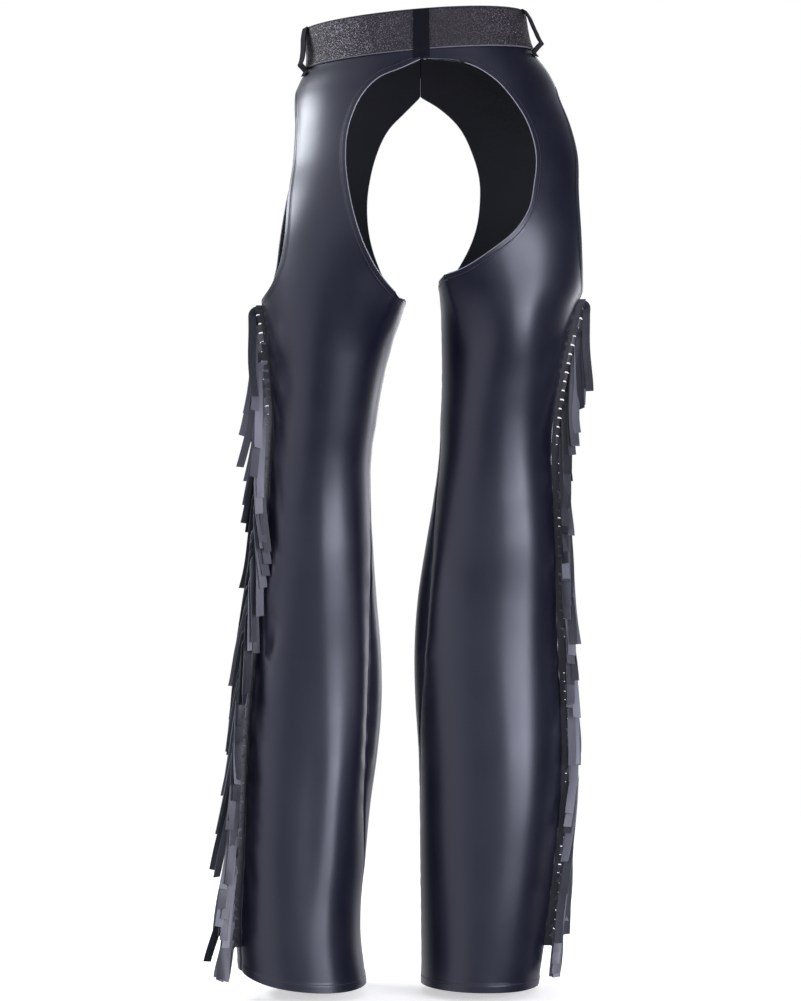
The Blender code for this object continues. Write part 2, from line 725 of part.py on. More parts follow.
def build_buckle():
    """The buckle: a plain plate over the belt's ends, curved as the belt is."""
    bm = bmesh.new()
    bmesh.ops.create_cube(bm, size=1)
    for vert in bm.verts:
        vert.co.x *= BUCKLE_WIDTH
        vert.co.y *= BUCKLE_THICKNESS
        vert.co.z *= BUCKLE_HEIGHT
    upright = [edge for edge in bm.edges if abs(edge.verts[0].co.y - edge.verts[1].co.y) > 1e-6]
    bmesh.ops.bevel(bm, geom=upright, offset=BUCKLE_CORNER, segments=3, affect="EDGES", profile=0.5)
    front = [edge for edge in bm.edges if all(vert.co.y < 0 for vert in edge.verts)
             and any(abs(face.normal.y) < 0.5 for face in edge.link_faces)]
    bmesh.ops.bevel(bm, geom=front, offset=BUCKLE_EDGE, segments=1, affect="EDGES", profile=0.5)
    for share in (-0.6, -0.3, 0, 0.3, 0.6):
        bmesh.ops.bisect_plane(
            bm, geom=bm.verts[:] + bm.edges[:] + bm.faces[:],
            plane_co=(share * BUCKLE_WIDTH / 2, 0, 0), plane_no=(1, 0, 0),
        )
    base = BELT_OFFSET + BELT_THICKNESS + SEAM_GAP + BUCKLE_THICKNESS / 2
    girth = float(np.linalg.norm(waist_point(271, 0, 0) - waist_point(269, 0, 0))) / 2
    for vert in bm.verts:
        vert.co = waist_point(270 + vert.co.x / girth, vert.co.z, base - vert.co.y)
    add_object("buckle", bm, "dark_metal")


def main():
    """Clears the scene and builds every piece."""
    for old in list(bpy.data.objects):
        bpy.data.objects.remove(old)
    collection("chaps")
    for leg in LEGS:
        build_panel(leg, 1)
        build_panel(leg, -1)
    for fringe in FRINGES:
        build_fringe(fringe)
    build_belt()
    build_buckle()
    for loop in LOOPS:
        build_loop(loop)


main()
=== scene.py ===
"""Looks of black wet-look chaps with side fringe and a glitter belt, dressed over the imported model.

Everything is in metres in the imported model's frame: the front faces -Y, the left leg is at +X and the
middle of the waist is the origin. Each sub-assembly is a class that builds its meshes and dresses them.
"""
from __future__ import annotations

import logging
import math
import random
from dataclasses import dataclass
from enum import Enum
from typing import Any, Callable, NamedTuple, Sequence

import bpy
import numpy as np
from mathutils import Euler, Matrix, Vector
from mathutils.bvhtree import BVHTree


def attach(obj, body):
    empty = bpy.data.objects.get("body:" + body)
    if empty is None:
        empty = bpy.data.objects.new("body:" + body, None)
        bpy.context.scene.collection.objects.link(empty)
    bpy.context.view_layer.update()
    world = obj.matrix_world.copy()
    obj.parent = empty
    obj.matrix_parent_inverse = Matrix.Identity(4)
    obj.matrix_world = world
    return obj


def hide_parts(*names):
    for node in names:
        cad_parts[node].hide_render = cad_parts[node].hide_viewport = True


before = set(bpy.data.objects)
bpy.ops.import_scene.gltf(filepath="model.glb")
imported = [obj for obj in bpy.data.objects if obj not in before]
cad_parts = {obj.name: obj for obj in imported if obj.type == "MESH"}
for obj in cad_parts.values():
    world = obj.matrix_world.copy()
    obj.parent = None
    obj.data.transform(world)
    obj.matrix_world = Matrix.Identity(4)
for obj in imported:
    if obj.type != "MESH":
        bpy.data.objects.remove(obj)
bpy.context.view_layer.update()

log = logging.getLogger("chaps")

BODY = "root"
WALL = 0.0012
SEAM_GAP = 0.0003
SEWN_GAP = 0.00006
TAPE_THICKNESS = 0.0012
BELT_HEIGHT, BELT_THICKNESS = 0.044, 0.002
WAIST_RISE = 0.084
RISE_FADES_FROM, RISE_FADES_TO = -0.05, -0.26
TUBE_BELOW, HIPS_ABOVE = -0.35, -0.16
HIP_TURN = 2 / 3
MIDLINE_ANGLE = 90 / HIP_TURN
BACK_POINT, FRONT_POINT = -0.032, -0.048


class Toward(Enum):
    """Which way a panel goes round the leg from the outer seam."""

    BACK = 1
    FRONT = -1


class Section(NamedTuple):
    """A level section of one leg, its sides measured from the middle of the body."""

    height: float
    outer: float
    inner: float
    centre_y: float
    half_depth: float


class Hips(NamedTuple):
    """A level section of the hips."""

    height: float
    centre_y: float
    half_depth: float


class Cut(NamedTuple):
    """A point of the seat or front cut-out, by its distance from the middle of the body."""

    height: float
    across: float


class Notch(NamedTuple):
    """A point of the hip cut-out, by how far it is behind or before the side of the body."""

    height: float
    setback: float


class Seam(NamedTuple):
    """Where a long seam runs: 0 is the outer side of the leg, 90 the back and 180 the inner side."""

    height: float
    angle: float


class Fold(NamedTuple):
    """A soft ridge, or a trough where its depth is negative."""

    angle: float
    height: float
    spread: float
    reach: float
    depth: float
    slant: float


class Splay(NamedTuple):
    """How far the strands stand out from the leg at a height, in degrees, and how much that varies."""

    height: float
    usual: float
    spread: float


def smoothstep(value: Any, low: float, high: float) -> np.ndarray:
    """0 at low, 1 at high, with soft ends."""
    share = np.clip((np.asarray(value, float) - low) / (high - low), 0, 1)
    return share * share * (3 - 2 * share)


def curve_through(knots: np.ndarray, values: np.ndarray, at: Any) -> np.ndarray:
    """Values of a smooth curve through points whose knots rise.

    Args:
        knots: where the points are, rising.
        values: the values at the knots.
        at: where to read the curve; places outside the knots read its ends.

    Returns:
        The values of the curve there.
    """
    slopes = np.gradient(values, knots)
    at = np.clip(np.asarray(at, float), knots[0], knots[-1])
    i = np.clip(np.searchsorted(knots, at) - 1, 0, len(knots) - 2)
    step = knots[i + 1] - knots[i]
    t = (at - knots[i]) / step
    return (
        values[i] * (1 + 2 * t) * (1 - t) ** 2
        + slopes[i] * step * t * (1 - t) ** 2
        + values[i + 1] * t * t * (3 - 2 * t)
        + slopes[i + 1] * step * t * t * (t - 1)
    )


def column(rows: Sequence[Any], name: str, height: Any) -> np.ndarray:
    """A column of a table that runs downwards, read at the given heights."""
    heights = np.array([row.height for row in rows][::-1], float)
    values = np.array([getattr(row, name) for row in rows][::-1], float)
    return curve_through(heights, values, height)


def wrapped(angle: Any) -> np.ndarray:
    """The same angle between -180 and 180 degrees."""
    return (np.asarray(angle, float) + 180) % 360 - 180


def unit(vectors: np.ndarray) -> np.ndarray:
    """The same directions, each of length 1."""
    return vectors / np.linalg.norm(vectors, axis=-1, keepdims=True)


def distance_to_line(points: np.ndarray, line: np.ndarray) -> np.ndarray:
    """The distance from each point to the nearest place on a line of straight steps.

    Args:
        points: an array of points, of any shape that ends in 3.
        line: the line's points, one row each.

    Returns:
        One distance for each point.
    """
    flat = points.reshape(-1, 3)
    nearest = np.full(len(flat), np.inf)
    for start, end in zip(line[:-1], line[1:]):
        step = end - start
        share = np.clip((flat - start) @ step / max(float(step @ step), 1e-16), 0, 1)
        gap = np.linalg.norm(flat - start - share[:, None] * step, axis=1)
        nearest = np.minimum(nearest, gap)
    return nearest.reshape(points.shape[:-1])


HIPS = (
    Hips(0.030, 0.000, 0.094),
    Hips(-0.024, 0.001, 0.098),
    Hips(-0.100, 0.005, 0.108),
    Hips(-0.190, 0.008, 0.114),
    Hips(-0.260, 0.006, 0.110),
    Hips(-0.360, 0.000, 0.100),
)


@dataclass(frozen=True)
class LegForm:
    """The form of one worn leg, from the hem to the waist.

    Attributes:
        name: left or right.
        side: 1 for the left leg, -1 for the right.
        sections: the leg's level sections, from the waist down.
        back_cut: the edge of the seat cut-out.
        front_cut: the edge of the front cut-out.
        back_notch: the back edge of the hip cut-out.
        front_notch: the front edge of the hip cut-out.
        outseam: the course of the outer seam.
        inseam: the course of the inner seam.
        hem_outer: the height of the hem at the outer seam.
        hem_inner: the height of the hem at the inner seam.
        hem_bow: how far the hem hangs lower at the back.
        folds: the large soft folds.
        creases: the small soft creases.
    """

    name: str
    side: int
    sections: tuple[Section, ...]
    back_cut: tuple[Cut, ...]
    front_cut: tuple[Cut, ...]
    back_notch: tuple[Notch, ...]
    front_notch: tuple[Notch, ...]
    outseam: tuple[Seam, ...]
    inseam: tuple[Seam, ...]
    hem_outer: float
    hem_inner: float
    hem_bow: float
    folds: tuple[Fold, ...]
    creases: tuple[Fold, ...]

    def fold_depth(self, angle: Any, height: Any, folds: Sequence[Fold]) -> np.ndarray:
        """How far the given folds lift the cloth."""
        depth = np.zeros(np.broadcast(angle, height).shape)
        for fold in folds:
            middle = fold.angle + fold.slant * (height - fold.height)
            turn = wrapped(angle - middle) / fold.spread
            depth = depth + fold.depth * np.exp(-(turn**2) - ((height - fold.height) / fold.reach) ** 2)
        return depth

    def surface(self, angle: Any, height: Any) -> np.ndarray:
        """Points on the outer face, for angles in degrees and heights before the waist is tilted."""
        angle, height = np.broadcast_arrays(np.asarray(angle, float), np.asarray(height, float))
        turn = np.radians(angle)
        outer = column(self.sections, "outer", height)
        inner = column(self.sections, "inner", height)
        lift = self.fold_depth(angle, height, self.folds)
        leg_x = (outer + inner) / 2 + ((outer - inner) / 2 + lift) * np.cos(turn)
        depth = column(self.sections, "half_depth", height) + lift
        leg_y = column(self.sections, "centre_y", height) + depth * np.sin(turn)
        round_hips = wrapped(angle)
        past_midline = np.clip((np.abs(round_hips) - MIDLINE_ANGLE) / (180 - MIDLINE_ANGLE), 0, 1)
        hip_turn = np.radians(np.clip(round_hips * HIP_TURN, -90, 90))
        hip_x = outer * np.cos(hip_turn) + inner * past_midline
        hip_y = column(HIPS, "half_depth", height) * np.sin(hip_turn) * (1 - past_midline)
        hip_y = hip_y + column(HIPS, "centre_y", height)
        share = smoothstep(height, TUBE_BELOW, HIPS_ABOVE)
        x = self.side * (leg_x + (hip_x - leg_x) * share)
        y = leg_y + (hip_y - leg_y) * share
        z = height - WAIST_RISE * x * smoothstep(height, RISE_FADES_TO, RISE_FADES_FROM)
        return np.stack([x, y, z], axis=-1)

    def outward(self, angle: Any, height: Any) -> np.ndarray:
        """Unit normals of the outer face."""
        angle, height = np.broadcast_arrays(np.asarray(angle, float), np.asarray(height, float))
        reach = np.where(np.abs(angle) <= MIDLINE_ANGLE, MIDLINE_ANGLE, 1e3)
        ahead = self.surface(np.clip(angle + 1, -reach, reach), height)
        behind = self.surface(np.clip(angle - 1, -reach, reach), height)
        up = self.surface(angle, height + 0.002) - self.surface(angle, height - 0.002)
        return unit(self.side * np.cross(ahead - behind, up))

    def untilted(self, across: float, z: float) -> float:
        """The height before the waist is tilted of a point at this distance from the middle."""
        height = z
        for _ in range(8):
            fade = smoothstep(height, RISE_FADES_TO, RISE_FADES_FROM)
            height = float(z + WAIST_RISE * self.side * across * fade)
        return height

    def angle_where(self, height: float, toward: Toward, reached: Callable[[np.ndarray], bool]) -> float:
        """The first angle from the outer side, towards the back or front, at which a test holds."""
        low, high = 0.0, 180.0
        for _ in range(40):
            middle = (low + high) / 2
            if reached(self.surface(toward.value * middle, height)):
                high = middle
            else:
                low = middle
        return toward.value * high

    def angle_across(self, height: float, across: float, toward: Toward) -> float:
        """The angle at which the face is this far from the middle of the body."""
        return self.angle_where(height, toward, lambda point: self.side * point[0] <= across)

    def angle_setback(self, height: float, setback: float, toward: Toward) -> float:
        """The angle at which the face is this far behind or before its outer side."""
        side_y = self.surface(0.0, height)[1]
        return self.angle_where(height, toward, lambda point: toward.value * (point[1] - side_y) >= setback)

    def spaced_along(self, corners: Sequence[tuple[float, float]], shares: np.ndarray) -> np.ndarray:
        """Points at these shares of the way along a smooth line through the given ones."""
        points = np.array(corners, float)
        places = self.surface(points[:, 0], points[:, 1])
        run = np.concatenate([[0], np.cumsum(np.linalg.norm(np.diff(places, axis=0), axis=1))])
        at = shares * run[-1]
        return np.stack([curve_through(run, points[:, 0], at), curve_through(run, points[:, 1], at)], axis=-1)

    def seam_shift(self, height: Any) -> Any:
        """Half the gap of a sewn seam as an angle, at the outer or inner side."""
        return np.degrees(SEWN_GAP / 2 / column(self.sections, "half_depth", height))

    def outer_edge(self, toward: Toward, rows: "RowPlan") -> np.ndarray:
        """Angles and heights up a panel's outer edge: the side seam, the hip cut-out, and the seam above."""
        notch = self.back_notch if toward is Toward.BACK else self.front_notch
        cut = []
        for row in notch[::-1]:
            side = float(column(self.sections, "outer", row.height))
            height = self.untilted(side, row.height)
            angle = self.angle_setback(height, row.setback, toward) if row.setback else 0.0
            cut.append((angle + toward.value * float(self.seam_shift(height)), height))
        heights = self.hem_outer + (cut[0][1] - self.hem_outer) * rows.tube
        seam = column(self.outseam, "angle", heights) + toward.value * self.seam_shift(heights)
        tube = np.stack([seam, heights], axis=-1)
        above = cut[-1][1] + (BELT_HEIGHT / 2 - cut[-1][1]) * rows.waist
        waist = np.stack([np.full_like(above, cut[-1][0]), above], axis=-1)
        return np.concatenate([tube, self.spaced_along(cut, rows.cut), waist])

    def inner_edge(self, toward: Toward, rows: "RowPlan") -> np.ndarray:
        """Angles and heights up a panel's inner edge: the inner seam, the cut-out, and the middle seam."""
        back = toward is Toward.BACK
        table = self.back_cut if back else self.front_cut
        point = BACK_POINT if back else FRONT_POINT
        top = self.untilted(table[-1].across, table[-1].height)
        heights = self.hem_inner + (top - self.hem_inner) * rows.tube
        seam = column(self.inseam, "angle", heights) - toward.value * self.seam_shift(heights)
        if not back:
            seam = seam - 360
        cut = [(float(seam[-1]), top)]
        for row in table[-2::-1]:
            height = self.untilted(row.across, row.height)
            cut.append((self.angle_across(height, row.across, toward), height))
        cut.append((self.angle_across(point, SEWN_GAP / 2, toward), point))
        above = point + (BELT_HEIGHT / 2 - point) * rows.waist
        centre = [self.angle_across(height, SEWN_GAP / 2, toward) for height in above]
        waist = np.stack([np.array(centre), above], axis=-1)
        return np.concatenate([np.stack([seam, heights], axis=-1), self.spaced_along(cut, rows.cut), waist])

    def side_seam(self, height: Any) -> tuple[np.ndarray, np.ndarray, np.ndarray]:
        """The points, outward directions and directions to the back along the outer seam."""
        angle = column(self.outseam, "angle", height)
        out = self.outward(angle, height) * np.array([1, 1, 0])
        out = unit(out)
        back = self.side * np.stack([-out[..., 1], out[..., 0], np.zeros(out.shape[:-1])], axis=-1)
        return self.surface(angle, height), out, back


@dataclass(frozen=True)
class RowPlan:
    """How a panel's rows are shared out, each part as shares of the way up it."""

    tube: np.ndarray
    cut: np.ndarray
    waist: np.ndarray


LEFT = LegForm(
    name="left",
    side=1,
    sections=(
        Section(0.022, 0.1275, 0.018, 0.004, 0.098),
        Section(-0.022, 0.1265, 0.018, 0.004, 0.100),
        Section(-0.034, 0.1330, 0.018, 0.005, 0.101),
        Section(-0.050, 0.1385, 0.018, 0.005, 0.102),
        Section(-0.090, 0.1435, 0.018, 0.006, 0.102),
        Section(-0.130, 0.1505, 0.018, 0.006, 0.102),
        Section(-0.170, 0.1640, 0.018, 0.006, 0.100),
        Section(-0.210, 0.1740, 0.018, 0.005, 0.097),
        Section(-0.250, 0.1765, 0.018, 0.003, 0.093),
        Section(-0.287, 0.1750, 0.0176, 0.000, 0.089),
        Section(-0.328, 0.1694, 0.0297, -0.005, 0.085),
        Section(-0.372, 0.1667, 0.0407, -0.010, 0.079),
        Section(-0.416, 0.1672, 0.0484, -0.015, 0.073),
        Section(-0.460, 0.1705, 0.0550, -0.020, 0.068),
        Section(-0.504, 0.1749, 0.0555, -0.023, 0.064),
        Section(-0.570, 0.1804, 0.0528, -0.022, 0.062),
        Section(-0.614, 0.1854, 0.0506, -0.018, 0.063),
        Section(-0.680, 0.1903, 0.0473, -0.010, 0.066),
        Section(-0.724, 0.1936, 0.0473, -0.005, 0.068),
        Section(-0.790, 0.1969, 0.0512, 0.000, 0.071),
        Section(-0.834, 0.1991, 0.0561, 0.002, 0.074),
        Section(-0.900, 0.2024, 0.0616, 0.004, 0.078),
        Section(-0.944, 0.2035, 0.0660, 0.004, 0.082),
        Section(-0.977, 0.2030, 0.0665, 0.004, 0.085),
        Section(-1.040, 0.1985, 0.0590, 0.002, 0.090),
    ),
    back_cut=(
        Cut(-0.0410, 0.0199),
        Cut(-0.0527, 0.0477),
        Cut(-0.0763, 0.0681),
        Cut(-0.1143, 0.0804),
        Cut(-0.1363, 0.0815),
        Cut(-0.1631, 0.0793),
        Cut(-0.2017, 0.0715),
        Cut(-0.2306, 0.0617),
        Cut(-0.2617, 0.0445),
        Cut(-0.2775, 0.0310),
        Cut(-0.2875, 0.0176),
    ),
    front_cut=(
        Cut(-0.0660, 0.0180),
        Cut(-0.0850, 0.0360),
        Cut(-0.1200, 0.0520),
        Cut(-0.1600, 0.0600),
        Cut(-0.2000, 0.0590),
        Cut(-0.2350, 0.0500),
        Cut(-0.2650, 0.0360),
        Cut(-0.2875, 0.0176),
    ),
    back_notch=(
        Notch(-0.0560, 0.000),
        Notch(-0.0650, 0.016),
        Notch(-0.0900, 0.029),
        Notch(-0.1350, 0.042),
        Notch(-0.1750, 0.055),
        Notch(-0.2200, 0.064),
        Notch(-0.2500, 0.060),
        Notch(-0.2720, 0.046),
        Notch(-0.2820, 0.026),
        Notch(-0.2860, 0.000),
    ),
    front_notch=(
        Notch(-0.0560, 0.000),
        Notch(-0.0650, 0.014),
        Notch(-0.0900, 0.026),
        Notch(-0.1350, 0.036),
        Notch(-0.1750, 0.046),
        Notch(-0.2200, 0.052),
        Notch(-0.2500, 0.049),
        Notch(-0.2720, 0.038),
        Notch(-0.2820, 0.022),
        Notch(-0.2860, 0.000),
    ),
    outseam=(
        Seam(-0.20, 0),
        Seam(-0.30, 4),
        Seam(-0.42, 20),
        Seam(-0.56, 30),
        Seam(-0.75, 25),
        Seam(-0.92, 28),
        Seam(-1.05, 20),
    ),
    inseam=(
        Seam(-0.20, 180),
        Seam(-0.40, 180),
        Seam(-0.52, 173),
        Seam(-0.63, 160),
        Seam(-0.73, 155),
        Seam(-0.83, 160),
        Seam(-0.93, 176),
        Seam(-1.05, 180),
    ),
    hem_outer=-1.0165,
    hem_inner=-1.0325,
    hem_bow=0.008,
    folds=(
        Fold(156, -0.72, 12, 0.12, -0.0040, 0),
        Fold(188, -0.71, 20, 0.13, 0.0040, 0),
        Fold(-90, -0.50, 45, 0.07, 0.0040, 0),
        Fold(60, -0.80, 20, 0.20, 0.0030, -30),
        Fold(100, -0.84, 16, 0.16, -0.0025, 20),
        Fold(-55, -0.86, 20, 0.18, 0.0040, 30),
        Fold(-110, -0.90, 20, 0.15, -0.0030, 0),
        Fold(38, -0.38, 18, 0.05, -0.0030, 0),
    ),
    creases=(
        Fold(45, -0.596, 8, 0.028, 0.0028, 60),
        Fold(50, -0.655, 8, 0.024, -0.0020, 90),
        Fold(38, -0.332, 9, 0.020, 0.0030, 10),
        Fold(36, -0.362, 7, 0.011, -0.0016, 40),
        Fold(36, -0.388, 7, 0.010, 0.0016, 40),
        Fold(33, -0.412, 6, 0.010, -0.0013, 30),
        Fold(109, -0.760, 15, 0.230, 0.0030, -60),
        Fold(70, -0.500, 16, 0.020, 0.0007, 120),
        Fold(120, -0.555, 20, 0.018, -0.0006, -120),
        Fold(150, -0.300, 10, 0.030, 0.0009, 0),
        Fold(-60, -0.540, 26, 0.013, 0.0012, 160),
        Fold(-95, -0.575, 28, 0.012, -0.0011, -120),
        Fold(-130, -0.520, 20, 0.014, 0.0011, -200),
        Fold(-40, -0.960, 22, 0.020, 0.0012, 160),
        Fold(-100, -0.985, 24, 0.016, -0.0010, 100),
    ),
)

RIGHT = LegForm(
    name="right",
    side=-1,
    sections=(
        Section(0.022, 0.1125, 0.018, 0.004, 0.098),
        Section(-0.022, 0.1232, 0.018, 0.004, 0.100),
        Section(-0.046, 0.1400, 0.018, 0.005, 0.102),
        Section(-0.080, 0.1545, 0.018, 0.006, 0.102),
        Section(-0.110, 0.1680, 0.018, 0.006, 0.102),
        Section(-0.140, 0.1775, 0.018, 0.006, 0.101),
        Section(-0.175, 0.1815, 0.018, 0.006, 0.099),
        Section(-0.215, 0.1850, 0.019, 0.004, 0.096),
        Section(-0.250, 0.1825, 0.020, 0.002, 0.093),
        Section(-0.273, 0.1782, 0.0209, 0.001, 0.091),
        Section(-0.295, 0.1700, 0.0220, 0.000, 0.089),
        Section(-0.317, 0.1645, 0.0223, -0.001, 0.086),
        Section(-0.350, 0.1570, 0.0228, -0.003, 0.083),
        Section(-0.383, 0.1510, 0.0228, -0.005, 0.079),
        Section(-0.416, 0.1462, 0.0215, -0.007, 0.074),
        Section(-0.450, 0.1445, 0.0205, -0.009, 0.070),
        Section(-0.504, 0.1463, 0.0143, -0.010, 0.065),
        Section(-0.548, 0.1483, 0.0077, -0.008, 0.063),
        Section(-0.614, 0.1498, -0.0010, -0.002, 0.065),
        Section(-0.674, 0.1518, -0.0045, 0.002, 0.068),
        Section(-0.724, 0.1538, -0.0044, 0.004, 0.071),
        Section(-0.779, 0.1546, -0.0022, 0.006, 0.074),
        Section(-0.834, 0.1536, -0.0016, 0.005, 0.077),
        Section(-0.892, 0.1485, -0.0011, 0.002, 0.081),
        Section(-0.944, 0.1425, -0.0005, -0.002, 0.086),
        Section(-1.040, 0.1290, -0.0005, -0.010, 0.092),
    ),
    back_cut=(
        Cut(-0.0377, 0.0530),
        Cut(-0.0559, 0.0830),
        Cut(-0.0838, 0.1061),
        Cut(-0.1170, 0.1205),
        Cut(-0.1449, 0.1233),
        Cut(-0.1609, 0.1214),
        Cut(-0.1888, 0.1163),
        Cut(-0.2124, 0.1030),
        Cut(-0.2370, 0.0744),
        Cut(-0.2531, 0.0498),
        Cut(-0.2690, 0.0210),
    ),
    front_cut=(
        Cut(-0.0600, 0.0200),
        Cut(-0.0800, 0.0420),
        Cut(-0.1150, 0.0600),
        Cut(-0.1550, 0.0680),
        Cut(-0.1950, 0.0640),
        Cut(-0.2250, 0.0530),
        Cut(-0.2500, 0.0380),
        Cut(-0.2690, 0.0210),
    ),
    back_notch=(
        Notch(-0.0520, 0.000),
        Notch(-0.0600, 0.013),
        Notch(-0.0850, 0.022),
        Notch(-0.1250, 0.031),
        Notch(-0.1700, 0.039),
        Notch(-0.2150, 0.041),
        Notch(-0.2450, 0.035),
        Notch(-0.2660, 0.024),
        Notch(-0.2750, 0.013),
        Notch(-0.2790, 0.000),
    ),
    front_notch=(
        Notch(-0.0520, 0.000),
        Notch(-0.0600, 0.016),
        Notch(-0.0850, 0.030),
        Notch(-0.1250, 0.042),
        Notch(-0.1700, 0.052),
        Notch(-0.2150, 0.056),
        Notch(-0.2450, 0.050),
        Notch(-0.2660, 0.036),
        Notch(-0.2750, 0.020),
        Notch(-0.2790, 0.000),
    ),
    outseam=(
        Seam(-0.20, 0),
        Seam(-0.35, 2),
        Seam(-0.55, 8),
        Seam(-0.80, 4),
        Seam(-1.05, 8),
    ),
    inseam=(
        Seam(-0.20, 180),
        Seam(-0.38, 180),
        Seam(-0.48, 171),
        Seam(-0.58, 160),
        Seam(-0.68, 158),
        Seam(-0.78, 172),
        Seam(-0.90, 180),
        Seam(-1.05, 180),
    ),
    hem_outer=-1.0365,
    hem_inner=-1.0345,
    hem_bow=-0.002,
    folds=(
        Fold(160, -0.62, 12, 0.10, -0.0040, 0),
        Fold(190, -0.64, 20, 0.11, 0.0035, 0),
        Fold(-90, -0.50, 45, 0.07, 0.0035, 0),
        Fold(70, -0.84, 20, 0.18, 0.0030, 30),
        Fold(30, -0.90, 18, 0.12, -0.0030, 0),
        Fold(-50, -0.84, 22, 0.18, 0.0035, 20),
        Fold(-125, -0.90, 20, 0.15, -0.0030, 0),
    ),
    creases=(
        Fold(30, -0.345, 8, 0.016, 0.0010, 40),
        Fold(26, -0.430, 7, 0.014, -0.0011, 40),
        Fold(24, -0.478, 7, 0.013, 0.0011, 40),
        Fold(150, -0.672, 9, 0.012, 0.0012, 60),
        Fold(60, -0.520, 18, 0.018, 0.0006, 120),
        Fold(110, -0.570, 20, 0.018, -0.0006, -120),
        Fold(84, -0.318, 26, 0.042, 0.0062, 0),
        Fold(50, -0.760, 16, 0.250, 0.0022, 0),
        Fold(-55, -0.530, 26, 0.013, 0.0011, 160),
        Fold(-90, -0.560, 28, 0.012, -0.0011, -120),
        Fold(-125, -0.505, 20, 0.014, 0.0010, -200),
        Fold(-60, -0.965, 22, 0.020, 0.0011, 160),
        Fold(-115, -0.990, 24, 0.016, -0.0010, 100),
    ),
)


def alone(piece: bpy.types.Object) -> bpy.types.Object:
    """Selects one object, makes it the active one and returns it."""
    bpy.ops.object.select_all(action="DESELECT")
    piece.select_set(True)
    bpy.context.view_layer.objects.active = piece
    return piece


def newest(name: str) -> bpy.types.Object:
    """The object that an operator has just added, under its own name.

    Args:
        name: the name it gets, its mesh too.

    Returns:
        The object.
    """
    piece = bpy.context.active_object
    piece.name = name
    piece.data.name = name
    return piece


def with_modifier(piece: bpy.types.Object, kind: str, **settings: Any) -> None:
    """Adds a modifier to a piece and applies it.

    Args:
        piece: the piece.
        kind: the modifier's type.
        **settings: the modifier's settings.
    """
    alone(piece)
    modifier = piece.modifiers.new(kind.lower(), kind)
    for key, value in settings.items():
        setattr(modifier, key, value)
    bpy.ops.object.modifier_apply(modifier=modifier.name)


def smoothed(piece: bpy.types.Object, degrees: float) -> None:
    """Shades a piece smooth, apart from edges sharper than this."""
    alone(piece)
    bpy.ops.object.shade_smooth_by_angle(angle=math.radians(degrees))


def open_edges(piece: bpy.types.Object, wanted: Sequence[bool]) -> None:
    """Opens a piece for editing with just these of its edges selected.

    Args:
        piece: the piece.
        wanted: whether each edge is selected.
    """
    alone(piece)
    bpy.ops.object.mode_set(mode="EDIT")
    bpy.ops.mesh.select_mode(type="EDGE")
    bpy.ops.mesh.select_all(action="DESELECT")
    bpy.ops.object.mode_set(mode="OBJECT")
    piece.data.edges.foreach_set("select", np.asarray(wanted, bool))
    bpy.ops.object.mode_set(mode="EDIT")


def round_rims(piece: bpy.types.Object, inner: np.ndarray, roll: np.ndarray, wall: float) -> None:
    """Rounds the rims of a walled sheet.

    Args:
        piece: the sheet, with its wall.
        inner: 1 for each corner on the inner face, 0 on the outer.
        roll: how round the rim is at each corner, from 0 to 1, kept as the attribute roll, which also masks
            the painted rim highlight of WetLookCloth.
        wall: the wall's thickness.
    """
    mesh = piece.data
    for name, values in (("inner", inner), ("roll", roll)):
        mesh.attributes.new(name, "FLOAT", "POINT").data.foreach_set("value", values.astype(float))
    ends = np.empty(len(mesh.edges) * 2, int)
    mesh.edges.foreach_get("vertices", ends)
    ends = ends.reshape(-1, 2)
    open_edges(piece, inner[ends[:, 0]] != inner[ends[:, 1]])
    bpy.ops.mesh.subdivide(number_cuts=3)
    bpy.ops.object.mode_set(mode="OBJECT")
    count = len(mesh.vertices)
    places, normals = np.empty(count * 3), np.empty(count * 3)
    mesh.vertices.foreach_get("co", places)
    mesh.vertices.foreach_get("normal", normals)
    kept = {name: np.empty(count) for name in ("inner", "roll")}
    for name, values in kept.items():
        mesh.attributes[name].data.foreach_get("value", values)
    swell = wall / 2 * kept["roll"] * np.sin(math.pi * kept["inner"])
    places = places.reshape(-1, 3) + normals.reshape(-1, 3) * swell[:, None]
    mesh.vertices.foreach_set("co", places.ravel())
    mesh.update()


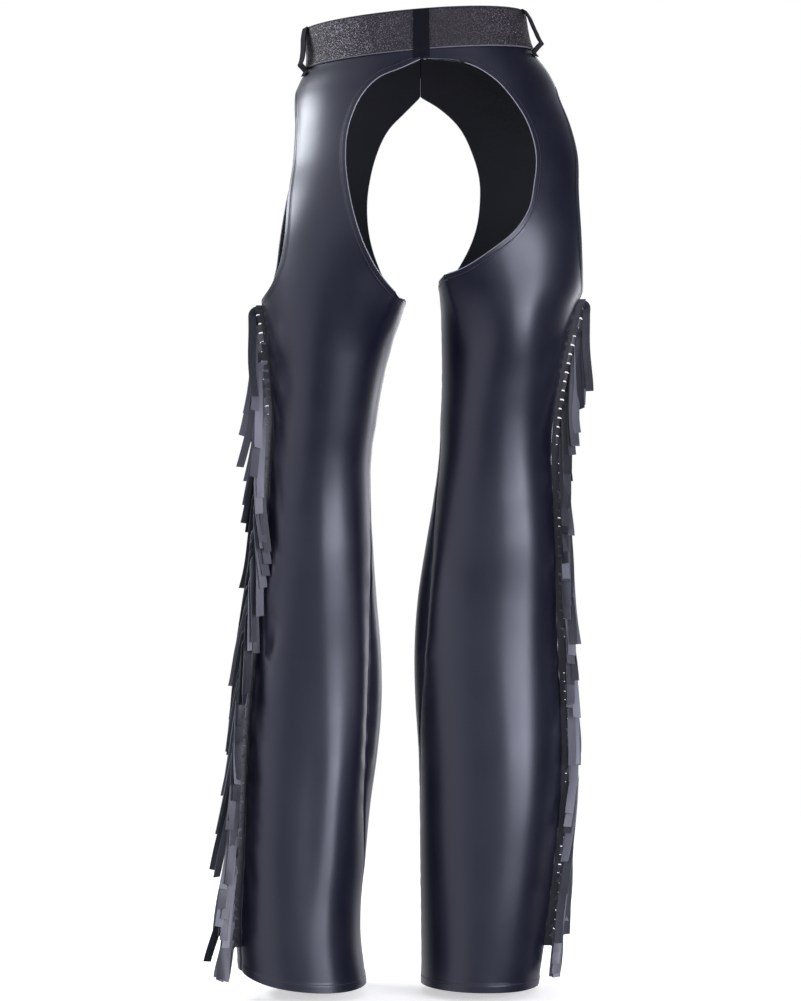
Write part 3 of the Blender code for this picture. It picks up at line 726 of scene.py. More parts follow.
def sheet_of(name: str, points: np.ndarray, wall: float, spread: np.ndarray | None = None,
             roll: np.ndarray | None = None) -> bpy.types.Object:
    """A sheet through a grid of points, given a wall on the side its faces turn away from.

    Args:
        name: the piece's name.
        points: the grid of points of the outer face, rows by columns by 3.
        wall: the wall's thickness.
        spread: the flat place of each point in metres, rows by columns by 2, kept as its UV map.
        roll: how round the rim is at each point, from 0 to 1, kept as the attribute roll, which also masks
            the painted rim highlight of WetLookCloth; without it the rims stay square.

    Returns:
        The piece. Its inner face has the second material, where it has one.
    """
    rows, columns = points.shape[:2]
    bpy.ops.object.select_all(action="DESELECT")
    bpy.ops.mesh.primitive_grid_add(x_subdivisions=columns - 1, y_subdivisions=rows - 1, size=2)
    piece = newest(name)
    mesh = piece.data
    corners = np.empty(len(mesh.vertices) * 3)
    mesh.vertices.foreach_get("co", corners)
    corners = corners.reshape(-1, 3)
    across = np.rint((corners[:, 0] + 1) / 2 * (columns - 1)).astype(int)
    along = np.rint((corners[:, 1] + 1) / 2 * (rows - 1)).astype(int)
    mesh.vertices.foreach_set("co", points[along, across].ravel())
    if spread is not None:
        wound = np.empty(len(mesh.loops), int)
        mesh.loops.foreach_get("vertex_index", wound)
        mesh.uv_layers.active.data.foreach_set("uv", spread[along, across][wound].ravel())
    mesh.update()
    for _ in range(2):
        mesh.materials.append(None)
    with_modifier(piece, "SOLIDIFY", thickness=wall, offset=-1, material_offset=1, material_offset_rim=0)
    if roll is not None:
        count = len(across)
        first = np.empty(len(mesh.vertices) * 3)
        mesh.vertices.foreach_get("co", first)
        kept = np.abs(first[: count * 3].reshape(-1, 3) - points[along, across]).max() < wall / 2
        sides = np.repeat([0, 1] if kept else [1, 0], count)
        round_rims(piece, sides, np.tile(roll[along, across], 2), wall)
    return piece


def turned_out(points: np.ndarray, out: np.ndarray) -> np.ndarray:
    """The same grid, its columns turned round if its faces would look inwards.

    Args:
        points: a grid of points.
        out: the outward direction at each point.

    Returns:
        The grid in the order in which its faces look outwards.
    """
    across = points[1:, 1:] - points[1:, :-1]
    along = points[1:, 1:] - points[:-1, 1:]
    faces_out = float(np.sum(np.cross(across, along) * out[1:, 1:])) > 0
    return points if faces_out else points[:, ::-1]


class Pattern(NamedTuple):
    """The shape that repeats in a piece: its corners and its faces."""

    corners: np.ndarray
    faces: np.ndarray


def pattern_from(piece: bpy.types.Object) -> Pattern:
    """Takes the shape of a modelled piece of four-cornered faces, and removes the piece."""
    mesh = piece.data
    corners = np.array([vertex.co[:] for vertex in mesh.vertices])
    faces = np.array([[*polygon.vertices][:4] for polygon in mesh.polygons if len(polygon.vertices) == 4])
    bpy.data.objects.remove(piece)
    return Pattern(corners, faces)


def copies_of(name: str, pattern: Pattern, placed: Sequence[np.ndarray],
              tones: Sequence[float]) -> bpy.types.Object:
    """One piece from many copies of a pattern, each with corners of its own.

    Args:
        name: the piece's name.
        pattern: the shape that repeats.
        placed: the corners of each copy.
        tones: a number from 0 to 1 for each copy, kept as the attribute tone.

    Returns:
        The joined piece.
    """
    count = len(pattern.corners)
    corners = np.concatenate(list(placed))
    faces = np.concatenate([pattern.faces + count * index for index in range(len(placed))])
    mesh = bpy.data.meshes.new(name)
    mesh.from_pydata(corners.tolist(), [], faces.tolist())
    tone = mesh.attributes.new("tone", "FLOAT", "POINT")
    tone.data.foreach_set("value", np.repeat(np.array(tones, float), count))
    piece = bpy.data.objects.new(name, mesh)
    bpy.context.scene.collection.objects.link(piece)
    return piece


class Socket:
    """A shader socket's value, for use in Python expressions."""

    def __init__(self, recipe: Recipe, socket: bpy.types.NodeSocket) -> None:
        """Keeps the socket and the recipe it belongs to."""
        self.recipe = recipe
        self.socket = socket

    def _with(self, operation: str, *others: Socket | float) -> Socket:
        """The result of a Math node on this value and others."""
        return self.recipe.maths(operation, *others)

    def __add__(self, other: Socket | float) -> Socket:
        """This plus other."""
        return self._with("ADD", self, other)

    def __radd__(self, other: float) -> Socket:
        """Other plus this."""
        return self._with("ADD", other, self)

    def __sub__(self, other: Socket | float) -> Socket:
        """This less other."""
        return self._with("SUBTRACT", self, other)

    def __rsub__(self, other: float) -> Socket:
        """Other less this."""
        return self._with("SUBTRACT", other, self)

    def __mul__(self, other: Socket | float) -> Socket:
        """This times other."""
        return self._with("MULTIPLY", self, other)

    def __rmul__(self, other: float) -> Socket:
        """Other times this."""
        return self._with("MULTIPLY", other, self)

    def __truediv__(self, other: Socket | float) -> Socket:
        """This divided by other."""
        return self._with("DIVIDE", self, other)

    def __pow__(self, other: float) -> Socket:
        """This to a power."""
        return self._with("POWER", self, other)


class Recipe:
    """A node tree while it is put together."""

    def __init__(self, tree: bpy.types.NodeTree) -> None:
        """Starts from an empty tree."""
        self.tree = tree
        tree.nodes.clear()

    def node(self, kind: str, settings: dict[str, Any] | None = None,
             sockets: dict[str | int, Any] | None = None) -> bpy.types.Node:
        """Adds a node.

        Args:
            kind: the node's type.
            settings: its own settings.
            sockets: a value or a link for each named or numbered input.

        Returns:
            The node.
        """
        made = self.tree.nodes.new(kind)
        for key, value in (settings or {}).items():
            setattr(made, key, value)
        for key, value in (sockets or {}).items():
            if isinstance(value, Socket):
                self.tree.links.new(value.socket, made.inputs[key])
            elif isinstance(value, bpy.types.NodeSocket):
                self.tree.links.new(value, made.inputs[key])
            else:
                made.inputs[key].default_value = value
        return made

    def take(self, kind: str, output: str | int, settings: dict[str, Any] | None = None,
             sockets: dict[str | int, Any] | None = None) -> Socket:
        """One output of a new node, as a value."""
        return Socket(self, self.node(kind, settings, sockets).outputs[output])

    def maths(self, operation: str, *operands: Socket | float, clamp: bool = False) -> Socket:
        """A Math node's result."""
        settings = {"operation": operation, "use_clamp": clamp}
        return self.take("ShaderNodeMath", 0, settings, dict(enumerate(operands)))

    def between(self, value: Socket, low: float, high: float) -> Socket:
        """0 where the value is at low, 1 where it is at high, with soft ends."""
        settings = {"interpolation_type": "SMOOTHSTEP"}
        return self.take("ShaderNodeMapRange", 0, settings,
                         {"Value": value, "From Min": low, "From Max": high})

    def blend(self, share: Socket | float, first: Any, second: Any) -> Socket:
        """A colour between two colours."""
        settings = {"data_type": "RGBA"}
        return self.take("ShaderNodeMix", 2, settings, {0: share, 6: as_colour(first), 7: as_colour(second)})

    def places(self, scale: tuple[float, float, float] = (1, 1, 1)) -> Socket:
        """The piece's own coordinates in metres, stretched by scale."""
        spot = self.take("ShaderNodeTexCoord", "Object")
        return self.take("ShaderNodeMapping", 0, None, {"Vector": spot, "Scale": scale})

    def cloud(self, scale: float, detail: float = 2.0,
              stretch: tuple[float, float, float] = (1, 1, 1)) -> Socket:
        """Soft noise from 0 to 1, scale to the metre."""
        sockets = {"Vector": self.places(stretch), "Scale": scale, "Detail": detail}
        return self.take("ShaderNodeTexNoise", 0, None, sockets)

    def cells(self, scale: float, output: str, feature: str = "F1",
              smoothness: float | None = None) -> Socket:
        """A pattern of cells, scale to the metre."""
        sockets: dict[str | int, Any] = {"Vector": self.places(), "Scale": scale}
        if smoothness is not None:
            sockets["Smoothness"] = smoothness
        return self.take("ShaderNodeTexVoronoi", output, {"feature": feature}, sockets)

    def relief(self, height: Socket, depth: float, strength: float = 1.0,
               under: Socket | None = None) -> Socket:
        """A normal from a height in the range 0 to 1, depth metres deep."""
        sockets: dict[str | int, Any] = {"Height": height, "Distance": depth, "Strength": strength}
        if under is not None:
            sockets["Normal"] = under
        return self.take("ShaderNodeBump", 0, None, sockets)

    def surface(self, **sockets: Any) -> None:
        """Ends the recipe with a Principled shader with these inputs, spaces for underscores."""
        named = {key.replace("_", " "): value for key, value in sockets.items()}
        shader = self.node("ShaderNodeBsdfPrincipled", None, named)
        self.node("ShaderNodeOutputMaterial", None, {"Surface": shader.outputs[0]})


def as_colour(value: Any) -> Any:
    """A colour with its fourth number, or the same socket."""
    return (*value, 1.0) if isinstance(value, tuple) and len(value) == 3 else value


class Finish:
    """A finish that is made once, as a material."""

    def cook(self, recipe: Recipe) -> None:
        """Puts the finish's nodes together."""
        raise NotImplementedError

    def material(self) -> bpy.types.Material:
        """The finish's material, made at its first use."""
        name = type(self).__name__
        found = bpy.data.materials.get(name)
        if found is None:
            found = bpy.data.materials.new(name)
            found.use_nodes = True
            self.cook(Recipe(found.node_tree))
        return found


@dataclass(frozen=True)
class WetLookCloth(Finish):
    """Black coated cloth with a blue-grey sheen, and a painted highlight on its rolled rims."""

    dark: tuple[float, float, float] = (0.0030, 0.0034, 0.0105)
    light: tuple[float, float, float] = (0.0060, 0.0064, 0.0150)
    # edge is a painted highlight: a far lighter colour for the light that the rolled rims catch.
    edge: tuple[float, float, float] = (0.200, 0.205, 0.245)
    smooth: float = 0.35
    rough: float = 0.41
    grain: float = 1500.0
    grain_depth: float = 0.00003

    def cook(self, recipe: Recipe) -> None:
        """Soft clouds of tone and gloss over a fine pressed grain, with a painted highlight: a far lighter
        colour on the rolled rims of the cut edges and the hem.
        """
        clouds = recipe.cloud(16, 3)
        drawn = recipe.cloud(60, 2, (1, 1, 0.25))
        tone = recipe.between(clouds * 0.7 + drawn * 0.3, 0.3, 0.7)
        grain = recipe.cells(self.grain, "Distance", "SMOOTH_F1", 0.6)
        wrinkle = recipe.cloud(220, 3)
        pressed = recipe.relief(grain, self.grain_depth, 0.5)
        surface = recipe.relief(wrinkle, 0.00008, 0.35, pressed)
        roll = recipe.take("ShaderNodeAttribute", "Fac", {"attribute_name": "roll"})
        # The roll attribute masks the painted rim highlight: where the rim is rolled, the colour turns to the
        # lighter edge colour.
        rim = recipe.between(roll, 0.25, 0.95)
        recipe.surface(
            Base_Color=recipe.blend(rim, recipe.blend(tone, self.dark, self.light), self.edge),
            Roughness=self.smooth + (self.rough - self.smooth) * tone + (grain - 0.5) * 0.03,
            IOR=1.5,
            Coat_Weight=0.12,
            Coat_Roughness=0.28,
            Specular_Tint=(0.80, 0.82, 1.0, 1.0),
            Normal=surface,
        )


@dataclass(frozen=True)
class BackingCloth(Finish):
    """The matt knitted back of the coated cloth."""

    colour: tuple[float, float, float] = (0.0070, 0.0075, 0.0110)
    courses: float = 1400.0

    def cook(self, recipe: Recipe) -> None:
        """Fine rows of stitches with a soft nap."""
        rows = recipe.take("ShaderNodeTexWave", 0, {"bands_direction": "Z"},
                           {"Vector": recipe.places(), "Scale": self.courses / 6.28, "Distortion": 2.0,
                            "Detail": 1.0, "Detail Scale": 3.0})
        nap = recipe.cloud(900, 2)
        worn = recipe.cloud(25, 2)
        recipe.surface(
            Base_Color=recipe.blend(nap * 0.6 + worn * 0.4, self.colour, (0.016, 0.017, 0.023)),
            Roughness=0.82 + 0.12 * nap,
            Specular_IOR_Level=0.18,
            Sheen_Weight=0.06,
            Sheen_Roughness=0.5,
            Normal=recipe.relief(rows * 0.6 + nap * 0.4, 0.00015, 0.6),
        )


@dataclass(frozen=True)
class FringeCloth(Finish):
    """The strands' coated cloth, each strand a tone of its own at random, the lighter tones a painted sheen
    that stands in for the reflections on the strands' faces.
    """

    dark: tuple[float, float, float] = (0.0040, 0.0043, 0.0080)
    # light is a painted sheen: far lighter than the black cloth, it stands in for the reflections on the
    # strands.
    light: tuple[float, float, float] = (0.1650, 0.1700, 0.2120)

    def cook(self, recipe: Recipe) -> None:
        """A tone for each strand, up to a lighter painted sheen, with fine streaks down it and a fine grain.
        """
        tone = recipe.take("ShaderNodeAttribute", "Fac", {"attribute_name": "tone"})
        streaks = recipe.cloud(500, 2, (1, 1, 0.15))
        # The strand's random tone with its streaks, mixed towards the painted sheen colour.
        strand_tone_and_sheen = recipe.maths("ADD", tone * 0.86, streaks * 0.12, clamp=True)
        grain = recipe.cells(1500, "Distance", "SMOOTH_F1", 0.6)
        recipe.surface(
            Base_Color=recipe.blend(strand_tone_and_sheen, self.dark, self.light),
            Roughness=0.36 + 0.16 * strand_tone_and_sheen,
            IOR=1.5,
            Specular_Tint=(0.88, 0.90, 1.0, 1.0),
            Normal=recipe.relief(grain * 0.6 + streaks * 0.4, 0.00006, 0.5),
        )


@dataclass(frozen=True)
class GlitterCoat(Finish):
    """Fine dark glitter on the belt: flakes that each face their own way."""

    base: tuple[float, float, float] = (0.0105, 0.0085, 0.0135)
    flake: tuple[float, float, float] = (0.170, 0.148, 0.190)
    flakes: float = 1500.0
    bright_share: float = 0.24

    def cook(self, recipe: Recipe) -> None:
        """Cells the size of the flakes, a few of them bright and tilted."""
        colour = recipe.cells(self.flakes, "Color")
        chance = recipe.take("ShaderNodeSeparateColor", 0, None, {"Color": colour})
        other = recipe.take("ShaderNodeSeparateColor", 1, None, {"Color": colour})
        edge = recipe.cells(self.flakes, "Distance")
        bright = recipe.between(chance, 1 - self.bright_share, 1 - self.bright_share * 0.5)
        clumps = recipe.cloud(90, 3)
        facing = recipe.take("ShaderNodeNewGeometry", "Normal")
        shift = recipe.take("ShaderNodeVectorMath", 0, {"operation": "SUBTRACT"},
                            {0: colour, 1: (0.5, 0.5, 0.5)})
        tilt = recipe.take("ShaderNodeVectorMath", 0, {"operation": "SCALE"}, {0: shift, "Scale": 0.9})
        leaning = recipe.take("ShaderNodeVectorMath", 0, {"operation": "ADD"}, {0: facing, 1: tilt})
        normal = recipe.take("ShaderNodeVectorMath", 0, {"operation": "NORMALIZE"}, {0: leaning})
        tone = recipe.blend(bright * (0.55 + 0.45 * other), self.base, self.flake)
        recipe.surface(
            Base_Color=recipe.blend(clumps * 0.5, tone, (0.016, 0.013, 0.020)),
            Metallic=0.10 + 0.70 * bright,
            Roughness=0.58 - 0.20 * bright + 0.10 * edge,
            Normal=recipe.relief(edge, 0.0002, 0.5, normal),
        )


@dataclass(frozen=True)
class EdgePaint(Finish):
    """The belt's turned edge, smoother than its face and lighter: the lighter colour is a painted highlight
    for the light its rounded edge catches.
    """

    # colour is a painted highlight, far lighter than the belt's face.
    colour: tuple[float, float, float] = (0.060, 0.058, 0.072)

    def cook(self, recipe: Recipe) -> None:
        """A dull gloss with small flaws, in a lighter colour that paints on the edge's highlight."""
        wear = recipe.cloud(300, 3)
        recipe.surface(
            Base_Color=recipe.blend(wear, self.colour, (0.13, 0.125, 0.15)),
            Roughness=0.34 + 0.2 * wear,
            Normal=recipe.relief(wear, 0.00008, 0.4),
        )


@dataclass(frozen=True)
class LoopCloth(Finish):
    """The matt cloth of the belt loops."""

    colour: tuple[float, float, float] = (0.0016, 0.0016, 0.0050)

    def cook(self, recipe: Recipe) -> None:
        """A fine close weave with a faint nap."""
        weave = recipe.cells(1900, "Distance")
        nap = recipe.cloud(700, 2)
        recipe.surface(
            Base_Color=recipe.blend(nap, self.colour, (0.0050, 0.0048, 0.0100)),
            Roughness=0.70 + 0.18 * nap,
            Specular_IOR_Level=0.14,
            Normal=recipe.relief(weave * 0.6 + nap * 0.4, 0.00012, 0.6),
        )


@dataclass(frozen=True)
class SewingThread(Finish):
    """Black sewing thread."""

    colour: tuple[float, float, float] = (0.010, 0.011, 0.016)

    def cook(self, recipe: Recipe) -> None:
        """A twisted thread with a slight shine."""
        twist = recipe.cloud(2600, 1)
        recipe.surface(
            Base_Color=recipe.blend(twist, self.colour, (0.030, 0.032, 0.042)),
            Roughness=0.42 + 0.14 * twist,
            Normal=recipe.relief(twist, 0.00008, 0.5),
        )


@dataclass(frozen=True)
class DarkMetal(Finish):
    """The buckle's dark brushed metal."""

    colour: tuple[float, float, float] = (0.060, 0.060, 0.068)

    def cook(self, recipe: Recipe) -> None:
        """Fine level brush marks with light wear."""
        brushed = recipe.cloud(1600, 2, (0.05, 1, 1))
        wear = recipe.cloud(140, 4)
        recipe.surface(
            Base_Color=recipe.blend(recipe.between(wear, 0.45, 0.8), self.colour, (0.16, 0.16, 0.175)),
            Metallic=1.0,
            Roughness=0.24 + 0.16 * brushed,
            Normal=recipe.relief(brushed, 0.00004, 0.4),
        )


def add_piece(piece: bpy.types.Object, slot: str, *finishes: Finish) -> bpy.types.Object:
    """Dresses a piece in its finishes and lets it ride on the body.

    Args:
        piece: the piece.
        slot: the record's material slot for the piece; not used.
        *finishes: its finishes, the outer face's first.

    Returns:
        The same piece.
    """
    slots = piece.data.materials
    while len(slots) < len(finishes):
        slots.append(None)
    for index, finish in enumerate(finishes):
        slots[index] = finish.material()
    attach(piece, BODY)
    log.info("%s: %d faces", piece.name, len(piece.data.polygons))
    return piece


@dataclass
class Sewing:
    """Rows of sewing on one panel."""

    name: str
    pitch: float = 0.0033
    length: float = 0.0025
    width: float = 0.00052
    rows: list[np.ndarray] | None = None

    def stitch(self) -> Pattern:
        """One stitch, lying along the first axis."""
        bpy.ops.object.select_all(action="DESELECT")
        bpy.ops.mesh.primitive_cube_add(size=1)
        piece = newest("stitch")
        bpy.ops.object.mode_set(mode="EDIT")
        bpy.ops.mesh.select_all(action="SELECT")
        bpy.ops.mesh.subdivide(number_cuts=1, smoothness=1.0)
        bpy.ops.transform.resize(value=(self.length, self.width, self.width * 0.7))
        bpy.ops.object.mode_set(mode="OBJECT")
        return pattern_from(piece)

    def sew(self, lines: Sequence[np.ndarray], panel: BVHTree) -> bpy.types.Object:
        """Lays stitches along lines on a panel.

        Args:
            lines: points of each row of sewing, near the panel's face.
            panel: the panel's outer face, to lay them on.

        Returns:
            The stitches as one piece.
        """
        pattern = self.stitch()
        placed = []
        for line in lines:
            run = np.concatenate([[0], np.cumsum(np.linalg.norm(np.diff(line, axis=0), axis=1))])
            for at in np.arange(self.pitch / 2, run[-1], self.pitch):
                ends = []
                for place in (at - self.length / 2, at + self.length / 2):
                    spot = Vector([float(np.interp(place, run, line[:, axis])) for axis in range(3)])
                    ends.append(panel.find_nearest(spot))
                start, end = np.array(ends[0][0]), np.array(ends[1][0])
                up = unit(np.array(ends[0][1]) + np.array(ends[1][1]))
                ahead = unit(end - start)
                side = np.cross(up, ahead)
                middle = (start + end) / 2 + up * self.width * 0.16
                frame_axes = np.stack([ahead, side, np.cross(ahead, side)])
                placed.append(middle + pattern.corners @ frame_axes)
        return copies_of(self.name, pattern, placed, [0.5] * len(placed))


@dataclass
class LegPanel:
    """One cut panel of a leg, with its turned edges, its hem and its sewing."""

    leg: LegForm
    toward: Toward
    flat: tuple[float, float]
    area: float
    columns: int = 76
    hem_rows: int = 16
    tube_rows: int = 200
    cut_rows: int = 120
    waist_rows: int = 12
    turned_edge: float = 0.0062
    turned_hem: float = 0.0095
    turned_height: float = 0.00045
    groove: float = 0.0011

    @property
    def node(self) -> str:
        """The CAD node that the panel stands for."""
        return f"{self.leg.name}_{self.toward.name.lower()}"

    def grid(self) -> np.ndarray:
        """The angle and height of each point, from hem to waist and from the outer to the inner edge."""
        near = np.linspace(0, 0.017, self.hem_rows + 1)
        tube = np.concatenate([near, np.linspace(near[-1], 1, self.tube_rows + 1)[1:]])
        plan = RowPlan(
            tube=tube,
            cut=np.linspace(0, 1, self.cut_rows + 1)[1:],
            waist=np.linspace(0, 1, self.waist_rows + 1)[1:],
        )
        outer = self.leg.outer_edge(self.toward, plan)
        inner = self.leg.inner_edge(self.toward, plan)
        even = np.linspace(0, 1, self.columns + 1)
        share = (even - 0.62 * np.sin(2 * np.pi * even) / (2 * np.pi))[None, :, None]
        grid = outer[:, None, :] * (1 - share) + inner[:, None, :] * share
        near_hem = np.zeros(len(outer))
        near_hem[: len(tube)] = np.clip(1 - 3 * tube, 0, 1)
        bow = 4 * (share * (1 - share))[..., 0]
        grid[..., 1] -= self.toward.value * self.leg.hem_bow * near_hem[:, None] * bow
        return grid

    @property
    def last_tube_row(self) -> int:
        """The row where the side seams end and the cut-outs begin."""
        return self.hem_rows + self.tube_rows

    @property
    def last_cut_row(self) -> int:
        """The row where the cut-outs end."""
        return self.last_tube_row + self.cut_rows

    def undulation(self, angle: np.ndarray, height: np.ndarray) -> np.ndarray:
        """The slow unevenness of stretched cloth, the same on both sides of a seam."""
        chance = random.Random(f"{self.leg.name} cloth")
        lift = np.zeros(angle.shape)
        for _ in range(14):
            turns, rises = chance.randint(1, 4), chance.uniform(4, 34)
            phase, size = chance.uniform(0, 2 * math.pi), chance.uniform(0.00005, 0.00016)
            lift += size * np.sin(turns * np.radians(angle) + rises * height + phase)
        return lift

    def turned(self, distance: np.ndarray, width: float) -> np.ndarray:
        """The relief of an edge that is folded under and sewn down.

        Args:
            distance: how far each point is from the edge.
            width: how wide the fold is.

        Returns:
            How far the relief lifts each point.
        """
        band = self.turned_height * (1 - smoothstep(distance, width - 0.0009, width + 0.0009))
        sewn = 0.00035 * np.exp(-(((distance - (width - self.groove)) / 0.00075) ** 2))
        return band - sewn

    def pulled_in(self, distance: np.ndarray, height: np.ndarray, seed: str) -> np.ndarray:
        """The relief beside a long seam: a narrow valley with uneven puckers."""
        chance = random.Random(seed)
        valley = -0.0016 * np.exp(-((distance / 0.0016) ** 2)) - 0.0005 * np.exp(-((distance / 0.006) ** 2))
        ripple = np.zeros(height.shape)
        for _ in range(6):
            ripple += chance.uniform(0.5, 1) * np.sin(
                height * 2 * math.pi / chance.uniform(0.013, 0.045) + chance.uniform(0, 6.28)
            )
        beside = np.exp(-((distance / 0.011) ** 2)) * (1 - np.exp(-((distance / 0.002) ** 2)))
        return valley + 0.00016 * ripple * beside

    def relief(self, grid: np.ndarray, points: np.ndarray) -> np.ndarray:
        """How far the panel's face is lifted from the plain form at each point."""
        angle, height = grid[..., 0], grid[..., 1]
        tube, cut = self.last_tube_row, self.last_cut_row
        outer_seam = distance_to_line(points, points[: tube + 1 : 3, 0])
        inner_seam = distance_to_line(points, points[: tube + 1 : 3, -1])
        middle_seam = distance_to_line(points, points[cut:, -1])
        outer_cut = distance_to_line(points, points[tube : cut + 1, 0])
        inner_cut = distance_to_line(points, points[tube : cut + 1, -1])
        hem = distance_to_line(points, points[0, ::2])
        calm = smoothstep(-height, 0.024, 0.050)
        lift = (self.undulation(angle, height) + self.leg.fold_depth(angle, height, self.leg.creases)) * calm
        cut_distance = np.minimum(outer_cut, inner_cut)
        away = smoothstep(np.minimum(outer_seam, inner_seam), 0, 0.004)
        lift += self.turned(cut_distance, self.turned_edge) * away
        lift += self.turned(hem, self.turned_hem)
        lift += self.pulled_in(outer_seam, height, f"{self.leg.name} outer")
        lift += self.pulled_in(inner_seam, height, f"{self.leg.name} inner") * 0.7
        lift += -0.0012 * np.exp(-((middle_seam / 0.0015) ** 2))
        return lift

    def sewing_line(self, grid: np.ndarray, points: np.ndarray, rows: slice, edge: int,
                    inset: float) -> np.ndarray:
        """Points at a distance inside one of the panel's edges.

        Args:
            grid: the panel's angles and heights; not used.
            points: the panel's points.
            rows: the rows that the line runs along.
            edge: 0 for the outer edge, -1 for the inner.
            inset: how far from the edge the line is.

        Returns:
            The line's points.
        """
        line = points[rows, edge]
        inward = points[rows, 6 if edge == 0 else -7] - line
        ahead = unit(np.gradient(line, axis=0))
        inward = unit(inward - np.sum(inward * ahead, axis=1, keepdims=True) * ahead)
        return line + inward * inset

    def build(self) -> bpy.types.Object:
        """Makes the panel and its sewing.

        Returns:
            The panel.
        """
        grid = self.grid()
        plain = self.leg.surface(grid[..., 0], grid[..., 1])
        out = self.leg.outward(grid[..., 0], grid[..., 1])
        points = plain + out * self.relief(grid, plain)[..., None]
        girth = np.cumsum(np.linalg.norm(np.diff(plain, axis=1, prepend=plain[:, :1]), axis=2), axis=1)
        rise = np.cumsum(np.linalg.norm(np.diff(plain, axis=0, prepend=plain[:1]), axis=2), axis=0)
        spread = np.stack([girth, rise], axis=-1)
        cloth_area = self.measured_area(plain)
        log.info("%s: girth %.3f, length %.3f, area %.4f", self.node, girth.max(), rise[-1].min(), cloth_area)
        turned = turned_out(points, out)
        if turned is not points and turned[0, 0, 0] != points[0, 0, 0]:
            spread = spread[:, ::-1]
        # The roll rounds the hem and the cut-out rims, and WetLookCloth paints a lighter highlight on them by
        # it.
        roll = np.zeros(turned.shape[:2])
        roll[0] = 0.5
        roll[self.last_tube_row + 1 : self.last_cut_row, [0, -1]] = 1
        panel = sheet_of(f"{self.node}_cloth", turned, WALL, spread, roll)
        add_piece(panel, "wet_look_cloth", WetLookCloth(), BackingCloth())
        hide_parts(self.node)
        stitches = self.sew(grid, points, turned)
        smoothed(panel, 50)
        return panel

    def measured_area(self, points: np.ndarray) -> float:
        """The area of the panel's plain form."""
        across, along = np.diff(points, axis=1)[:-1], np.diff(points, axis=0)[:, :-1]
        return float(np.linalg.norm(np.cross(across, along), axis=-1).sum())

    def sew(self, grid: np.ndarray, points: np.ndarray, face: np.ndarray) -> bpy.types.Object:
        """Sews down the turned edges and the hem."""
        tube, cut = self.last_tube_row, self.last_cut_row
        lines = []
        for edge in (0, -1):
            rows = slice(tube, cut + 1)
            line = self.sewing_line(grid, points, rows, edge, self.turned_edge - self.groove)
            lines.append(line[4:-3])
        hem_line = points[0] + unit(points[8] - points[0]) * (self.turned_hem - self.groove)
        lines.append(hem_line[3:-3])
        columns = face.shape[1]
        corner = np.arange(face.shape[0] * columns).reshape(face.shape[:2])
        quads = np.stack([corner[:-1, :-1], corner[:-1, 1:], corner[1:, 1:], corner[1:, :-1]], axis=-1)
        tree = BVHTree.FromPolygons(face.reshape(-1, 3).tolist(), quads.reshape(-1, 4).tolist())
        stitches = Sewing(f"{self.node}_stitches").sew(lines, tree)
        return add_piece(stitches, "wet_look_cloth", SewingThread())


